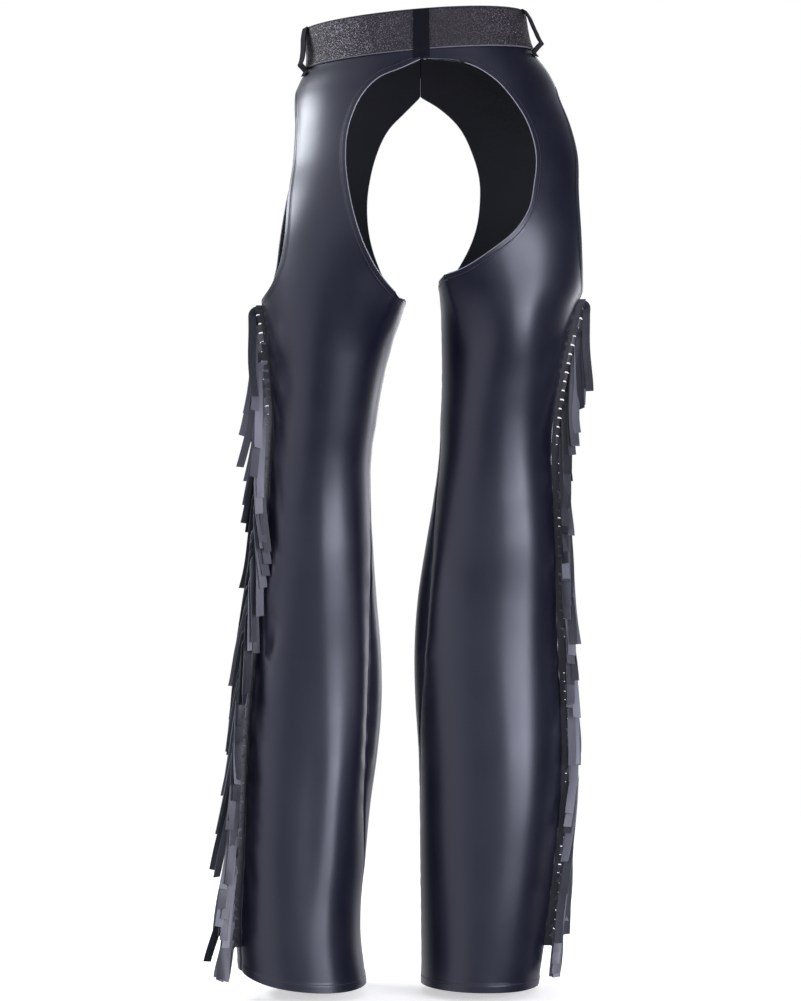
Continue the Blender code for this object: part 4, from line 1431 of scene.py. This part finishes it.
@dataclass
class SideFringe:
    """The fringe of one leg: a tape in the outer seam, slit into strands."""

    leg: LegForm
    seed: int
    splays: tuple[Splay, ...]
    slits_deep: tuple[float, float]
    flat: tuple[float, float] = (0.115, 0.710)
    area: float = 0.0740
    pitch: float = 0.010
    width: float = 0.0086
    thickness: float = 0.0009
    length: float = 0.103
    length_varies: tuple[float, float] = (0.84, 1.08)
    bend_varies: tuple[float, float] = (0.0075, 0.0110)
    tape_reach: float = 0.0040
    tape_below_cut: float = 0.0040
    falls_back: float = 0.62
    first_aside: float = 0.0016
    first_drop: float = 0.0060
    aside_share: float = 0.17
    tape_end: float = -0.9980
    strands_end: float = -1.0263
    bend_steps: int = 6
    hang_steps: int = 12

    def seam_top(self) -> float:
        """The height at which the outer seam ends, under the hip cut-out."""
        row = self.leg.back_notch[-1]
        side = float(column(self.leg.sections, "outer", row.height))
        return self.leg.untilted(side, row.height)

    def strip(self) -> Pattern:
        """A straight strand: its length along the first axis from 0 to 1, its width along the second."""
        bpy.ops.object.select_all(action="DESELECT")
        bpy.ops.mesh.primitive_cube_add(size=1, location=(0.5, 0, 0))
        piece = newest("strand")
        bpy.ops.object.transform_apply(location=True)
        for axis, cuts in ((0, self.bend_steps + self.hang_steps - 1), (1, 1)):
            corners = piece.data.vertices
            steps = [corners[edge.vertices[0]].co[axis] - corners[edge.vertices[1]].co[axis]
                     for edge in piece.data.edges]
            open_edges(piece, [abs(step) > 0.5 for step in steps])
            bpy.ops.mesh.subdivide(number_cuts=cuts)
            bpy.ops.object.mode_set(mode="OBJECT")
        return pattern_from(piece)

    def hang(self, root: float, falls: int, splay: float, bend: float, length: float,
             character: random.Random, strip: Pattern) -> np.ndarray:
        """The corners of one strand, hung from its root.

        It leaves the tape edge on, bends down in its own plane, and follows the seam down with its
        flat sides to the back and front.

        Args:
            root: the height of its root.
            falls: 1 where it falls to the back of the tape, -1 to the front.
            splay: how far it hangs from the line of the leg, in radians.
            bend: the radius of its bend.
            length: its length past the tape.
            character: decides its small waves and turns.
            strip: the straight strand.

        Returns:
            The strand's corners, in the strip's order.
        """
        turn = math.pi / 2 - splay
        bend_length = bend * turn
        marks = np.concatenate([
            np.linspace(0, bend_length, self.bend_steps + 1),
            np.linspace(bend_length, length, self.hang_steps + 1)[1:],
        ])
        hung = np.maximum(marks - bend_length, 0)
        slope = (marks - hung) / bend
        share = hung / (length - bend_length)
        wave, wave_at = character.uniform(-0.0020, 0.0020), character.uniform(2.5, 6.0)
        out = self.tape_reach + bend * np.sin(slope) + hung * math.cos(turn)
        out = out + wave * np.sin(share * wave_at) * share
        out[0] = self.tape_reach * 0.6
        drop = bend * (1 - np.cos(slope)) + hung * math.sin(turn)
        aside = self.first_aside * np.minimum(drop / self.first_drop, 1) + self.aside_share * drop
        aside = falls * (aside + character.uniform(-0.0005, 0.0035) * share**4)
        seam, out_way, back_way = self.leg.side_seam(root - drop)
        centre = seam + out_way * out[:, None] + back_way * aside[:, None]
        raised = out_way * np.sin(slope)[:, None] + np.array([0, 0, 1]) * np.cos(slope)[:, None]
        turned, tip = character.triangular(-26, 26, 0), character.triangular(-34, 34, 0)
        twist = np.radians(turned * smoothstep(share, 0, 0.5) + tip * share**3)[:, None]
        wide = raised * np.cos(twist) + back_way * np.sin(twist)
        thick = back_way * np.cos(twist) - raised * np.sin(twist)
        cup = character.uniform(-0.0005, 0.0008) * smoothstep(share, 0, 0.3)
        step = np.rint(strip.corners[:, 0] * (len(marks) - 1)).astype(int)
        across, deep = strip.corners[:, 1:2], strip.corners[:, 2:3]
        bowed = deep * self.thickness + (cup[step] * falls)[:, None] * (1 - 4 * across**2)
        corners = centre[step] + across * self.width * wide[step] + bowed * thick[step]
        slant = character.uniform(-0.0016, 0.0016)
        corners[:, 2] += np.where(step == len(marks) - 1, slant * across[:, 0], 0)
        return corners

    def tape(self, top: float, count: int, character: random.Random) -> tuple[Pattern, list[np.ndarray]]:
        """The tape's short lengths, one behind each strand, end to end, each slit to its own depth."""
        bpy.ops.object.select_all(action="DESELECT")
        bpy.ops.mesh.primitive_cube_add(size=1)
        block = pattern_from(newest("tape"))
        placed = []
        for index in range(count):
            high = top - index * self.pitch
            low = high - self.pitch
            deep_slit = self.slits_deep[0] > high > self.slits_deep[1] or character.random() < 0.12
            reach_here = self.tape_reach + (0 if deep_slit else character.uniform(0.0026, 0.0042))
            corners = np.empty_like(block.corners)
            for level, height in ((0.5, high), (-0.5, low)):
                seam, out_way, back_way = self.leg.side_seam(height)
                here = np.isclose(block.corners[:, 2], level)
                reach = np.where(block.corners[here, 0] > 0, reach_here, -0.0006)
                side = block.corners[here, 1] * TAPE_THICKNESS
                corners[here] = seam + reach[:, None] * out_way + side[:, None] * back_way
            placed.append(corners)
        return block, placed

    def build(self) -> bpy.types.Object:
        """Makes the tape and its strands.

        Returns:
            The fringe as one piece.
        """
        chance = random.Random(self.seed)
        character = random.Random(self.seed + 100)
        strip = self.strip()
        top = self.seam_top() - self.tape_below_cut
        count = int((top - self.tape_end) / self.pitch)
        placed, tones = [], []
        for index in range(count):
            root = top - (index + 0.5) * self.pitch
            falls = 1 if chance.random() < self.falls_back else -1
            spread = float(column(self.splays, "spread", root))
            usual = float(column(self.splays, "usual", root))
            splay = math.radians(usual + chance.triangular(-spread, spread, 0))
            bend = chance.uniform(*self.bend_varies)
            room = root - self.strands_end + bend / 2
            length = min(self.length * chance.uniform(*self.length_varies), room)
            placed.append(self.hang(root, falls, splay, bend, length, character, strip))
            # Each strand's random tone, which FringeCloth turns into a colour from near black up to a lighter
            # painted sheen.
            tones.append(character.random() ** 2.2)
        strands = copies_of(f"fringe_{self.leg.name}_strands", strip, placed, tones)
        block, lengths = self.tape(top, count, character)
        tape = copies_of(f"fringe_{self.leg.name}_tape", block, lengths, [0.0] * count)
        alone(strands)
        tape.select_set(True)
        bpy.ops.object.join()
        strands.name = f"fringe_{self.leg.name}_cloth"
        bpy.ops.object.mode_set(mode="EDIT")
        bpy.ops.mesh.select_all(action="SELECT")
        bpy.ops.mesh.normals_make_consistent(inside=False)
        bpy.ops.object.mode_set(mode="OBJECT")
        smoothed(strands, 40)
        add_piece(strands, "fringe_cloth", FringeCloth())
        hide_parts(f"fringe_{self.leg.name}")
        return strands


def waist_point(turn: Any, height: Any, offset: Any) -> np.ndarray:
    """Points outside the waist.

    Args:
        turn: the turn round the waist in degrees: 0 left, 90 back, 180 right, 270 front.
        height: the height before the waist is tilted.
        offset: how far each is from the cloth.

    Returns:
        The points.
    """
    values = [np.asarray(value, float) for value in (turn, height, offset)]
    turn, height, offset = np.broadcast_arrays(*values)
    angle = np.degrees(np.arcsin(np.sin(np.radians(turn)))) / HIP_TURN
    left, right = (
        leg.surface(angle, height) + offset[..., None] * leg.outward(angle, height) for leg in (LEFT, RIGHT)
    )
    return np.where((np.cos(np.radians(turn)) >= 0)[..., None], left, right)


def waist_grid(turns: np.ndarray, profile: Sequence[tuple[float, float]]) -> tuple[np.ndarray, np.ndarray]:
    """A grid of points round the waist and their outward directions.

    Args:
        turns: the turns round the waist, one column each.
        profile: the height and offset of each row.

    Returns:
        The points and the directions.
    """
    heights, offsets = np.array(profile, float).T[:, :, None]
    points = waist_point(turns[None, :], heights, offsets)
    return points, unit(waist_point(turns[None, :], heights, offsets + 0.01) - points)


@dataclass
class GlitterStrap:
    """The belt's strap, its ends met behind the buckle."""

    steps: int = 300
    rows: int = 16
    end_gap: float = 2.0
    edge: float = 0.0016

    def build(self) -> bpy.types.Object:
        """Makes the strap with soft edges.

        Returns:
            The strap.
        """
        turns = np.linspace(270 + self.end_gap, 630 - self.end_gap, self.steps + 1)
        half = BELT_HEIGHT / 2
        across = np.linspace(-half, half, self.rows + 1)
        across = half * np.sin(across / half * math.pi / 2)
        face = SEAM_GAP + BELT_THICKNESS
        profile = []
        for height in across:
            near = half - abs(height)
            soft = self.edge * 0.55 * (1 - smoothstep(near, 0, self.edge)) ** 2
            profile.append((float(height), face - float(soft)))
        points, out = waist_grid(turns, profile)
        strap = sheet_of("belt_strap", turned_out(points, out), BELT_THICKNESS)
        add_piece(strap, "glitter_belt", GlitterCoat(), GlitterCoat())
        with_modifier(strap, "BEVEL", width=0.0004, segments=2, limit_method="ANGLE",
                      angle_limit=math.radians(50))
        smoothed(strap, 50)
        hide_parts("belt")
        for name, height in (("low", -half), ("high", half)):
            self.binding(f"belt_edge_{name}", turns, height)
        return strap

    def binding(self, name: str, turns: np.ndarray, height: float) -> bpy.types.Object:
        """The turned rim along one edge of the strap.

        Args:
            name: the piece's name.
            turns: the turns round the waist.
            height: the height of the edge.

        Returns:
            The rim.
        """
        middle = SEAM_GAP + BELT_THICKNESS - 0.0006
        inward = -math.copysign(1.0, height)
        profile = []
        for part in np.linspace(0, math.pi, 7):
            profile.append((height + inward * (0.0007 - 0.0007 * math.sin(part)) - inward * 0.0002,
                            middle + 0.0009 * math.cos(part)))
        rim = sheet_of(name, waist_grid(turns, profile)[0], 0.0003)
        # The rims take the lighter edge colour, a painted highlight.
        add_piece(rim, "glitter_belt", EdgePaint(), EdgePaint())
        alone(rim)
        bpy.ops.object.mode_set(mode="EDIT")
        bpy.ops.mesh.select_all(action="SELECT")
        bpy.ops.mesh.normals_make_consistent(inside=False)
        bpy.ops.object.mode_set(mode="OBJECT")
        smoothed(rim, 60)
        return rim


@dataclass
class BeltLoop:
    """A loop sewn to the cloth under the belt and turned in over its top edge."""

    name: str
    turn: float
    slack: float
    width: float = 0.0165
    thickness: float = 0.0012
    foot_offset: float = 0.0008
    foot_below: float = 0.0085
    foot_length: float = 0.0050
    columns: int = 12

    def profile(self) -> np.ndarray:
        """The height and offset of the loop's inner face, from its foot to its end inside the waist."""
        clear = SEAM_GAP + BELT_THICKNESS + SEAM_GAP
        low, high = -BELT_HEIGHT / 2, BELT_HEIGHT / 2
        corners = np.array([
            (low - self.foot_below, self.foot_offset),
            (low - self.foot_below + self.foot_length, self.foot_offset),
            (low - SEAM_GAP, clear + self.slack),
            (low * 0.3, clear + self.slack * 0.85),
            (high * 0.5, clear + self.slack * 0.45),
            (high + SEAM_GAP, clear),
            (high + SEAM_GAP * 2, clear - 0.0008),
            (high + SEAM_GAP * 2, -WALL),
        ])
        run = np.concatenate([[0], np.cumsum(np.linalg.norm(np.diff(corners, axis=0), axis=1))])
        at = np.linspace(0, run[-1], 46)
        return np.stack([np.interp(at, run, corners[:, 0]), np.interp(at, run, corners[:, 1])], axis=-1)

    def build(self) -> bpy.types.Object:
        """Makes the loop with its folded edges.

        Returns:
            The loop.
        """
        girth = float(np.linalg.norm(waist_point(self.turn + 1, 0, 0) - waist_point(self.turn - 1, 0, 0))) / 2
        half_turn = self.width / 2 / girth
        shares = np.linspace(-1, 1, self.columns + 1)
        turns = self.turn + half_turn * shares
        profile = self.profile()
        slope = unit(np.gradient(profile, axis=0))
        outer = profile + np.stack([-slope[:, 1], slope[:, 0]], axis=-1) * -self.thickness
        outer = np.where((outer[:, 1] < profile[:, 1])[:, None] & (profile[:, 0] < BELT_HEIGHT / 2)[:, None],
                         profile + np.stack([-slope[:, 1], slope[:, 0]], axis=-1) * self.thickness, outer)
        points, out = waist_grid(turns, [tuple(row) for row in outer])
        fold = 0.00035 * (np.abs(np.abs(shares) - 0.80) < 0.2)
        points = points + out * fold[None, :, None]
        loop = sheet_of(f"{self.name}_cloth", turned_out(points, out), self.thickness)
        add_piece(loop, "loop_cloth", LoopCloth(), LoopCloth())
        with_modifier(loop, "BEVEL", width=0.0003, segments=2, limit_method="ANGLE",
                      angle_limit=math.radians(50))
        smoothed(loop, 60)
        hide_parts(self.name)
        return loop


@dataclass
class Buckle:
    """The belt's buckle, fastened over its ends: a frame with a bar and a prong on a curved plate."""

    width: float = 0.056
    height: float = 0.054
    thickness: float = 0.0035
    corner: float = 0.007
    rim: float = 0.0075
    recess: float = 0.0012

    def plate(self) -> bpy.types.Object:
        """The flat plate: rounded corners, a raised rim and soft edges."""
        bpy.ops.object.select_all(action="DESELECT")
        bpy.ops.mesh.primitive_cube_add(size=1)
        piece = newest("buckle_frame")
        piece.dimensions = (self.width, self.thickness, self.height)
        bpy.ops.object.transform_apply(scale=True)
        corners = piece.data.vertices
        open_edges(piece, [abs(corners[a].co.y - corners[b].co.y) > 1e-5 for a, b in
                           (edge.vertices for edge in piece.data.edges)])
        bpy.ops.mesh.bevel(offset=self.corner, segments=8)
        bpy.ops.object.mode_set(mode="OBJECT")
        self.select_faces(piece, lambda face: face.normal.y < -0.9)
        bpy.ops.mesh.inset(thickness=self.rim)
        bpy.ops.mesh.inset(thickness=0.0008, depth=-self.recess)
        bpy.ops.object.mode_set(mode="OBJECT")
        with_modifier(piece, "BEVEL", width=0.0007, segments=3, limit_method="ANGLE",
                      angle_limit=math.radians(40))
        return piece

    def select_faces(self, piece: bpy.types.Object, wanted: Callable[[bpy.types.MeshPolygon], bool]) -> None:
        """Opens a piece for editing with the faces selected that pass a test."""
        alone(piece)
        bpy.ops.object.mode_set(mode="EDIT")
        bpy.ops.mesh.select_mode(type="FACE")
        bpy.ops.mesh.select_all(action="DESELECT")
        bpy.ops.object.mode_set(mode="OBJECT")
        for face in piece.data.polygons:
            face.select = wanted(face)
        bpy.ops.object.mode_set(mode="EDIT")

    def bar(self, name: str, size: tuple[float, float, float],
            middle: tuple[float, float, float]) -> bpy.types.Object:
        """A rounded bar on the plate."""
        bpy.ops.object.select_all(action="DESELECT")
        bpy.ops.mesh.primitive_cube_add(size=1)
        piece = newest(name)
        piece.dimensions = size
        piece.location = middle
        bpy.ops.object.transform_apply(location=True, rotation=True, scale=True)
        with_modifier(piece, "BEVEL", width=min(size) * 0.42, segments=4)
        return piece

    def build(self) -> bpy.types.Object:
        """Makes the buckle and curves it as the belt is.

        Returns:
            The buckle.
        """
        plate = self.plate()
        front = -self.thickness / 2
        parts = [
            self.bar("buckle_bar", (0.0034, 0.0022, self.height - 2 * self.rim), (0.006, front + 0.0007, 0)),
            self.bar("buckle_prong", (0.033, 0.0024, 0.0040), (-0.007, front + 0.0002, 0)),
        ]
        alone(plate)
        for part in parts:
            part.select_set(True)
        bpy.ops.object.join()
        with_modifier(plate, "SUBSURF", subdivision_type="SIMPLE", levels=1, render_levels=1)
        base = SEAM_GAP + BELT_THICKNESS + SEAM_GAP + self.thickness / 2
        girth = float(np.linalg.norm(waist_point(271, 0, 0) - waist_point(269, 0, 0))) / 2
        corners = np.array([vertex.co[:] for vertex in plate.data.vertices])
        corners = waist_point(270 + corners[:, 0] / girth, corners[:, 2], base - corners[:, 1])
        plate.data.vertices.foreach_set("co", corners.ravel())
        plate.data.update()
        plate.name = "buckle_metal"
        add_piece(plate, "dark_metal", DarkMetal())
        smoothed(plate, 35)
        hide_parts("buckle")
        return plate


class Softbox(NamedTuple):
    """A studio light, placed by its turn from the camera's side towards photo right, in degrees."""

    name: str
    turn: float
    height: float
    distance: float
    width: float
    tall: float
    power: float
    tint: tuple[float, float, float]


class Patch(NamedTuple):
    """A soft patch of light in the surroundings, in degrees: turn towards photo right, rise and reach."""

    turn: float
    rise: float
    inner: float
    outer: float
    strength: float


@dataclass
class Studio:
    """The floor, the lights, the surroundings and the camera."""

    floor_height: float = -1.0440
    floor_size: float = 9.0
    aim: tuple[float, float, float] = (0.0225, 0.0, -0.50)
    camera_distance: float = 3.5
    camera_height: float = -0.5044
    image_height: int = 1001
    focal_pixels: float = 3181.8
    sensor: float = 36.0
    softboxes: tuple[Softbox, ...] = (
        Softbox("wide_right", 39, -0.59, 2.2, 1.45, 0.78, 33, (0.95, 0.95, 1.0)),
        Softbox("strip_right", 54, -0.59, 2.2, 0.60, 0.78, 10, (0.95, 0.95, 1.0)),
        Softbox("box_left_high", -103, 0.42, 2.0, 1.25, 0.45, 40, (0.96, 1.0, 1.0)),
        Softbox("wide_front", 172, 0.10, 3.0, 1.2, 2.0, 20, (0.95, 0.96, 1.0)),
        Softbox("rim_right", 138, -0.45, 2.6, 0.5, 1.4, 10, (0.95, 0.95, 1.0)),
    )
    patches: tuple[Patch, ...] = (
        Patch(0, 5, 8, 36, 0.88),
        Patch(42, 30, 6, 26, 1.00),
        Patch(-64, 2, 15, 48, 1.30),
        Patch(180, 5, 10, 60, 0.75),
        Patch(0, 90, 10, 50, 0.60),
    )

    def floor(self) -> bpy.types.Object:
        """A plain pale floor that fades into the white surroundings."""
        bpy.ops.object.select_all(action="DESELECT")
        bpy.ops.mesh.primitive_plane_add(size=self.floor_size, location=(0, 0, self.floor_height))
        floor = newest("floor")
        bpy.ops.object.transform_apply(location=True)
        material = bpy.data.materials.new("pale_floor")
        material.use_nodes = True
        recipe = Recipe(material.node_tree)
        spot = recipe.places()
        reach = recipe.take("ShaderNodeVectorMath", "Value", {"operation": "LENGTH"}, {0: spot})
        far = recipe.between(reach, 1.0, 2.4)
        near = recipe.node("ShaderNodeBsdfPrincipled", None, {
            "Base Color": (0.86, 0.86, 0.87, 1), "Roughness": 0.9, "Specular IOR Level": 0.1,
            "Emission Color": (1, 1, 1, 1), "Emission Strength": 0.5,
        })
        glow = recipe.node("ShaderNodeEmission", None, {"Color": (1, 1, 1, 1), "Strength": 1.0})
        mixed = recipe.node("ShaderNodeMixShader", None, {0: far, 1: near.outputs[0], 2: glow.outputs[0]})
        recipe.node("ShaderNodeOutputMaterial", None, {"Surface": mixed.outputs[0]})
        floor.data.materials.append(material)
        floor.visible_glossy = False
        return floor

    def surroundings(self) -> None:
        """White behind the object, and soft patches of light round it."""
        world = bpy.data.worlds.new("studio")
        bpy.context.scene.world = world
        world.use_nodes = True
        recipe = Recipe(world.node_tree)
        way = recipe.take("ShaderNodeTexCoord", "Generated")
        light: Socket | float = 0.10
        for patch in self.patches:
            light = light + patch.strength * self.patch_of_light(recipe, way, patch)
        seen = recipe.take("ShaderNodeLightPath", "Is Camera Ray")
        colour = recipe.blend(seen, (0.92, 0.93, 1.0), (1.0, 1.0, 1.0))
        strength = light * (1 - seen) + seen * 1.0
        back = recipe.node("ShaderNodeBackground", None, {"Color": colour, "Strength": strength})
        recipe.node("ShaderNodeOutputWorld", None, {"Surface": back.outputs[0]})

    def patch_of_light(self, recipe: Recipe, way: Socket, patch: Patch) -> Socket:
        """1 in the middle of a patch of the surroundings, and 0 outside it."""
        turn, rise = math.radians(patch.turn), math.radians(patch.rise)
        middle = (-math.sin(turn) * math.cos(rise), math.cos(turn) * math.cos(rise), math.sin(rise))
        near = recipe.take("ShaderNodeVectorMath", "Value", {"operation": "DOT_PRODUCT"}, {0: way, 1: middle})
        return recipe.between(near, math.cos(math.radians(patch.outer)), math.cos(math.radians(patch.inner)))

    def light(self, box: Softbox) -> bpy.types.Object:
        """Sets up one softbox, turned to the middle of the object."""
        turn = math.radians(box.turn)
        across = self.aim[0] - box.distance * math.sin(turn)
        spot = Vector((across, box.distance * math.cos(turn), box.height))
        data = bpy.data.lights.new(box.name, "AREA")
        data.shape = "RECTANGLE"
        data.size, data.size_y = box.width, box.tall
        data.energy = box.power
        data.color = box.tint
        light = bpy.data.objects.new(box.name, data)
        bpy.context.scene.collection.objects.link(light)
        light.location = spot
        light.rotation_euler = (Vector(self.aim) - spot).to_track_quat("-Z", "Y").to_euler()
        light.visible_camera = False
        return light

    def camera(self) -> bpy.types.Object:
        """Stands the camera where the photograph was taken from."""
        data = bpy.data.cameras.new("camera")
        data.sensor_fit = "AUTO"
        data.sensor_width = self.sensor
        data.lens = self.focal_pixels / self.image_height * self.sensor
        camera = bpy.data.objects.new("camera", data)
        bpy.context.scene.collection.objects.link(camera)
        camera.location = (self.aim[0], self.camera_distance, self.camera_height)
        camera.rotation_euler = Euler((math.pi / 2, 0, math.pi))
        bpy.context.scene.camera = camera
        return camera

    def build(self) -> None:
        """Sets up the whole studio."""
        self.floor()
        self.surroundings()
        for box in self.softboxes:
            self.light(box)
        self.camera()
        bpy.context.scene.view_settings.view_transform = "Standard"


def main() -> None:
    """Builds the studio, then every piece in order."""
    logging.basicConfig(level=logging.INFO, format="%(name)s %(message)s")
    Studio().build()
    GlitterStrap().build()
    panels = (
        LegPanel(LEFT, Toward.BACK, (0.273, 1.064), 0.172),
        LegPanel(LEFT, Toward.FRONT, (0.289, 1.043), 0.239),
        LegPanel(RIGHT, Toward.BACK, (0.286, 1.090), 0.203),
        LegPanel(RIGHT, Toward.FRONT, (0.285, 1.084), 0.236),
    )
    for panel in panels:
        panel.build()
    for fringe in FRINGES:
        fringe.build()
    for loop in LOOPS:
        loop.build()
    Buckle().build()


FRINGES = (
    SideFringe(
        leg=LEFT,
        seed=3,
        slits_deep=(-0.290, -0.320),
        splays=(
            Splay(-0.28, 9, 3),
            Splay(-0.37, 6, 4),
            Splay(-0.44, -1, 4),
            Splay(-0.53, -4, 3),
            Splay(-0.62, 1, 3),
            Splay(-0.76, 4, 4),
            Splay(-0.87, 9, 5),
            Splay(-0.99, 13, 7),
        ),
    ),
    SideFringe(
        leg=RIGHT,
        seed=8,
        slits_deep=(-0.320, -0.425),
        splays=(
            Splay(-0.27, 12, 2),
            Splay(-0.32, 11, 3),
            Splay(-0.38, 3, 4),
            Splay(-0.46, 1, 4),
            Splay(-0.60, 1, 4),
            Splay(-0.70, -1, 3),
            Splay(-0.80, -1, 4),
            Splay(-0.88, 3, 4),
            Splay(-0.99, 4, 4),
        ),
    ),
)
LOOPS = (
    BeltLoop("belt_loop_back", 90, 0.0004),
    BeltLoop("belt_loop_left", 14, 0.0075),
    BeltLoop("belt_loop_right", 166, 0.0110),
    BeltLoop("belt_loop_front_left", 308, 0.0006),
    BeltLoop("belt_loop_front_right", 232, 0.0006),
)


if __name__ == "__main__":
    main()
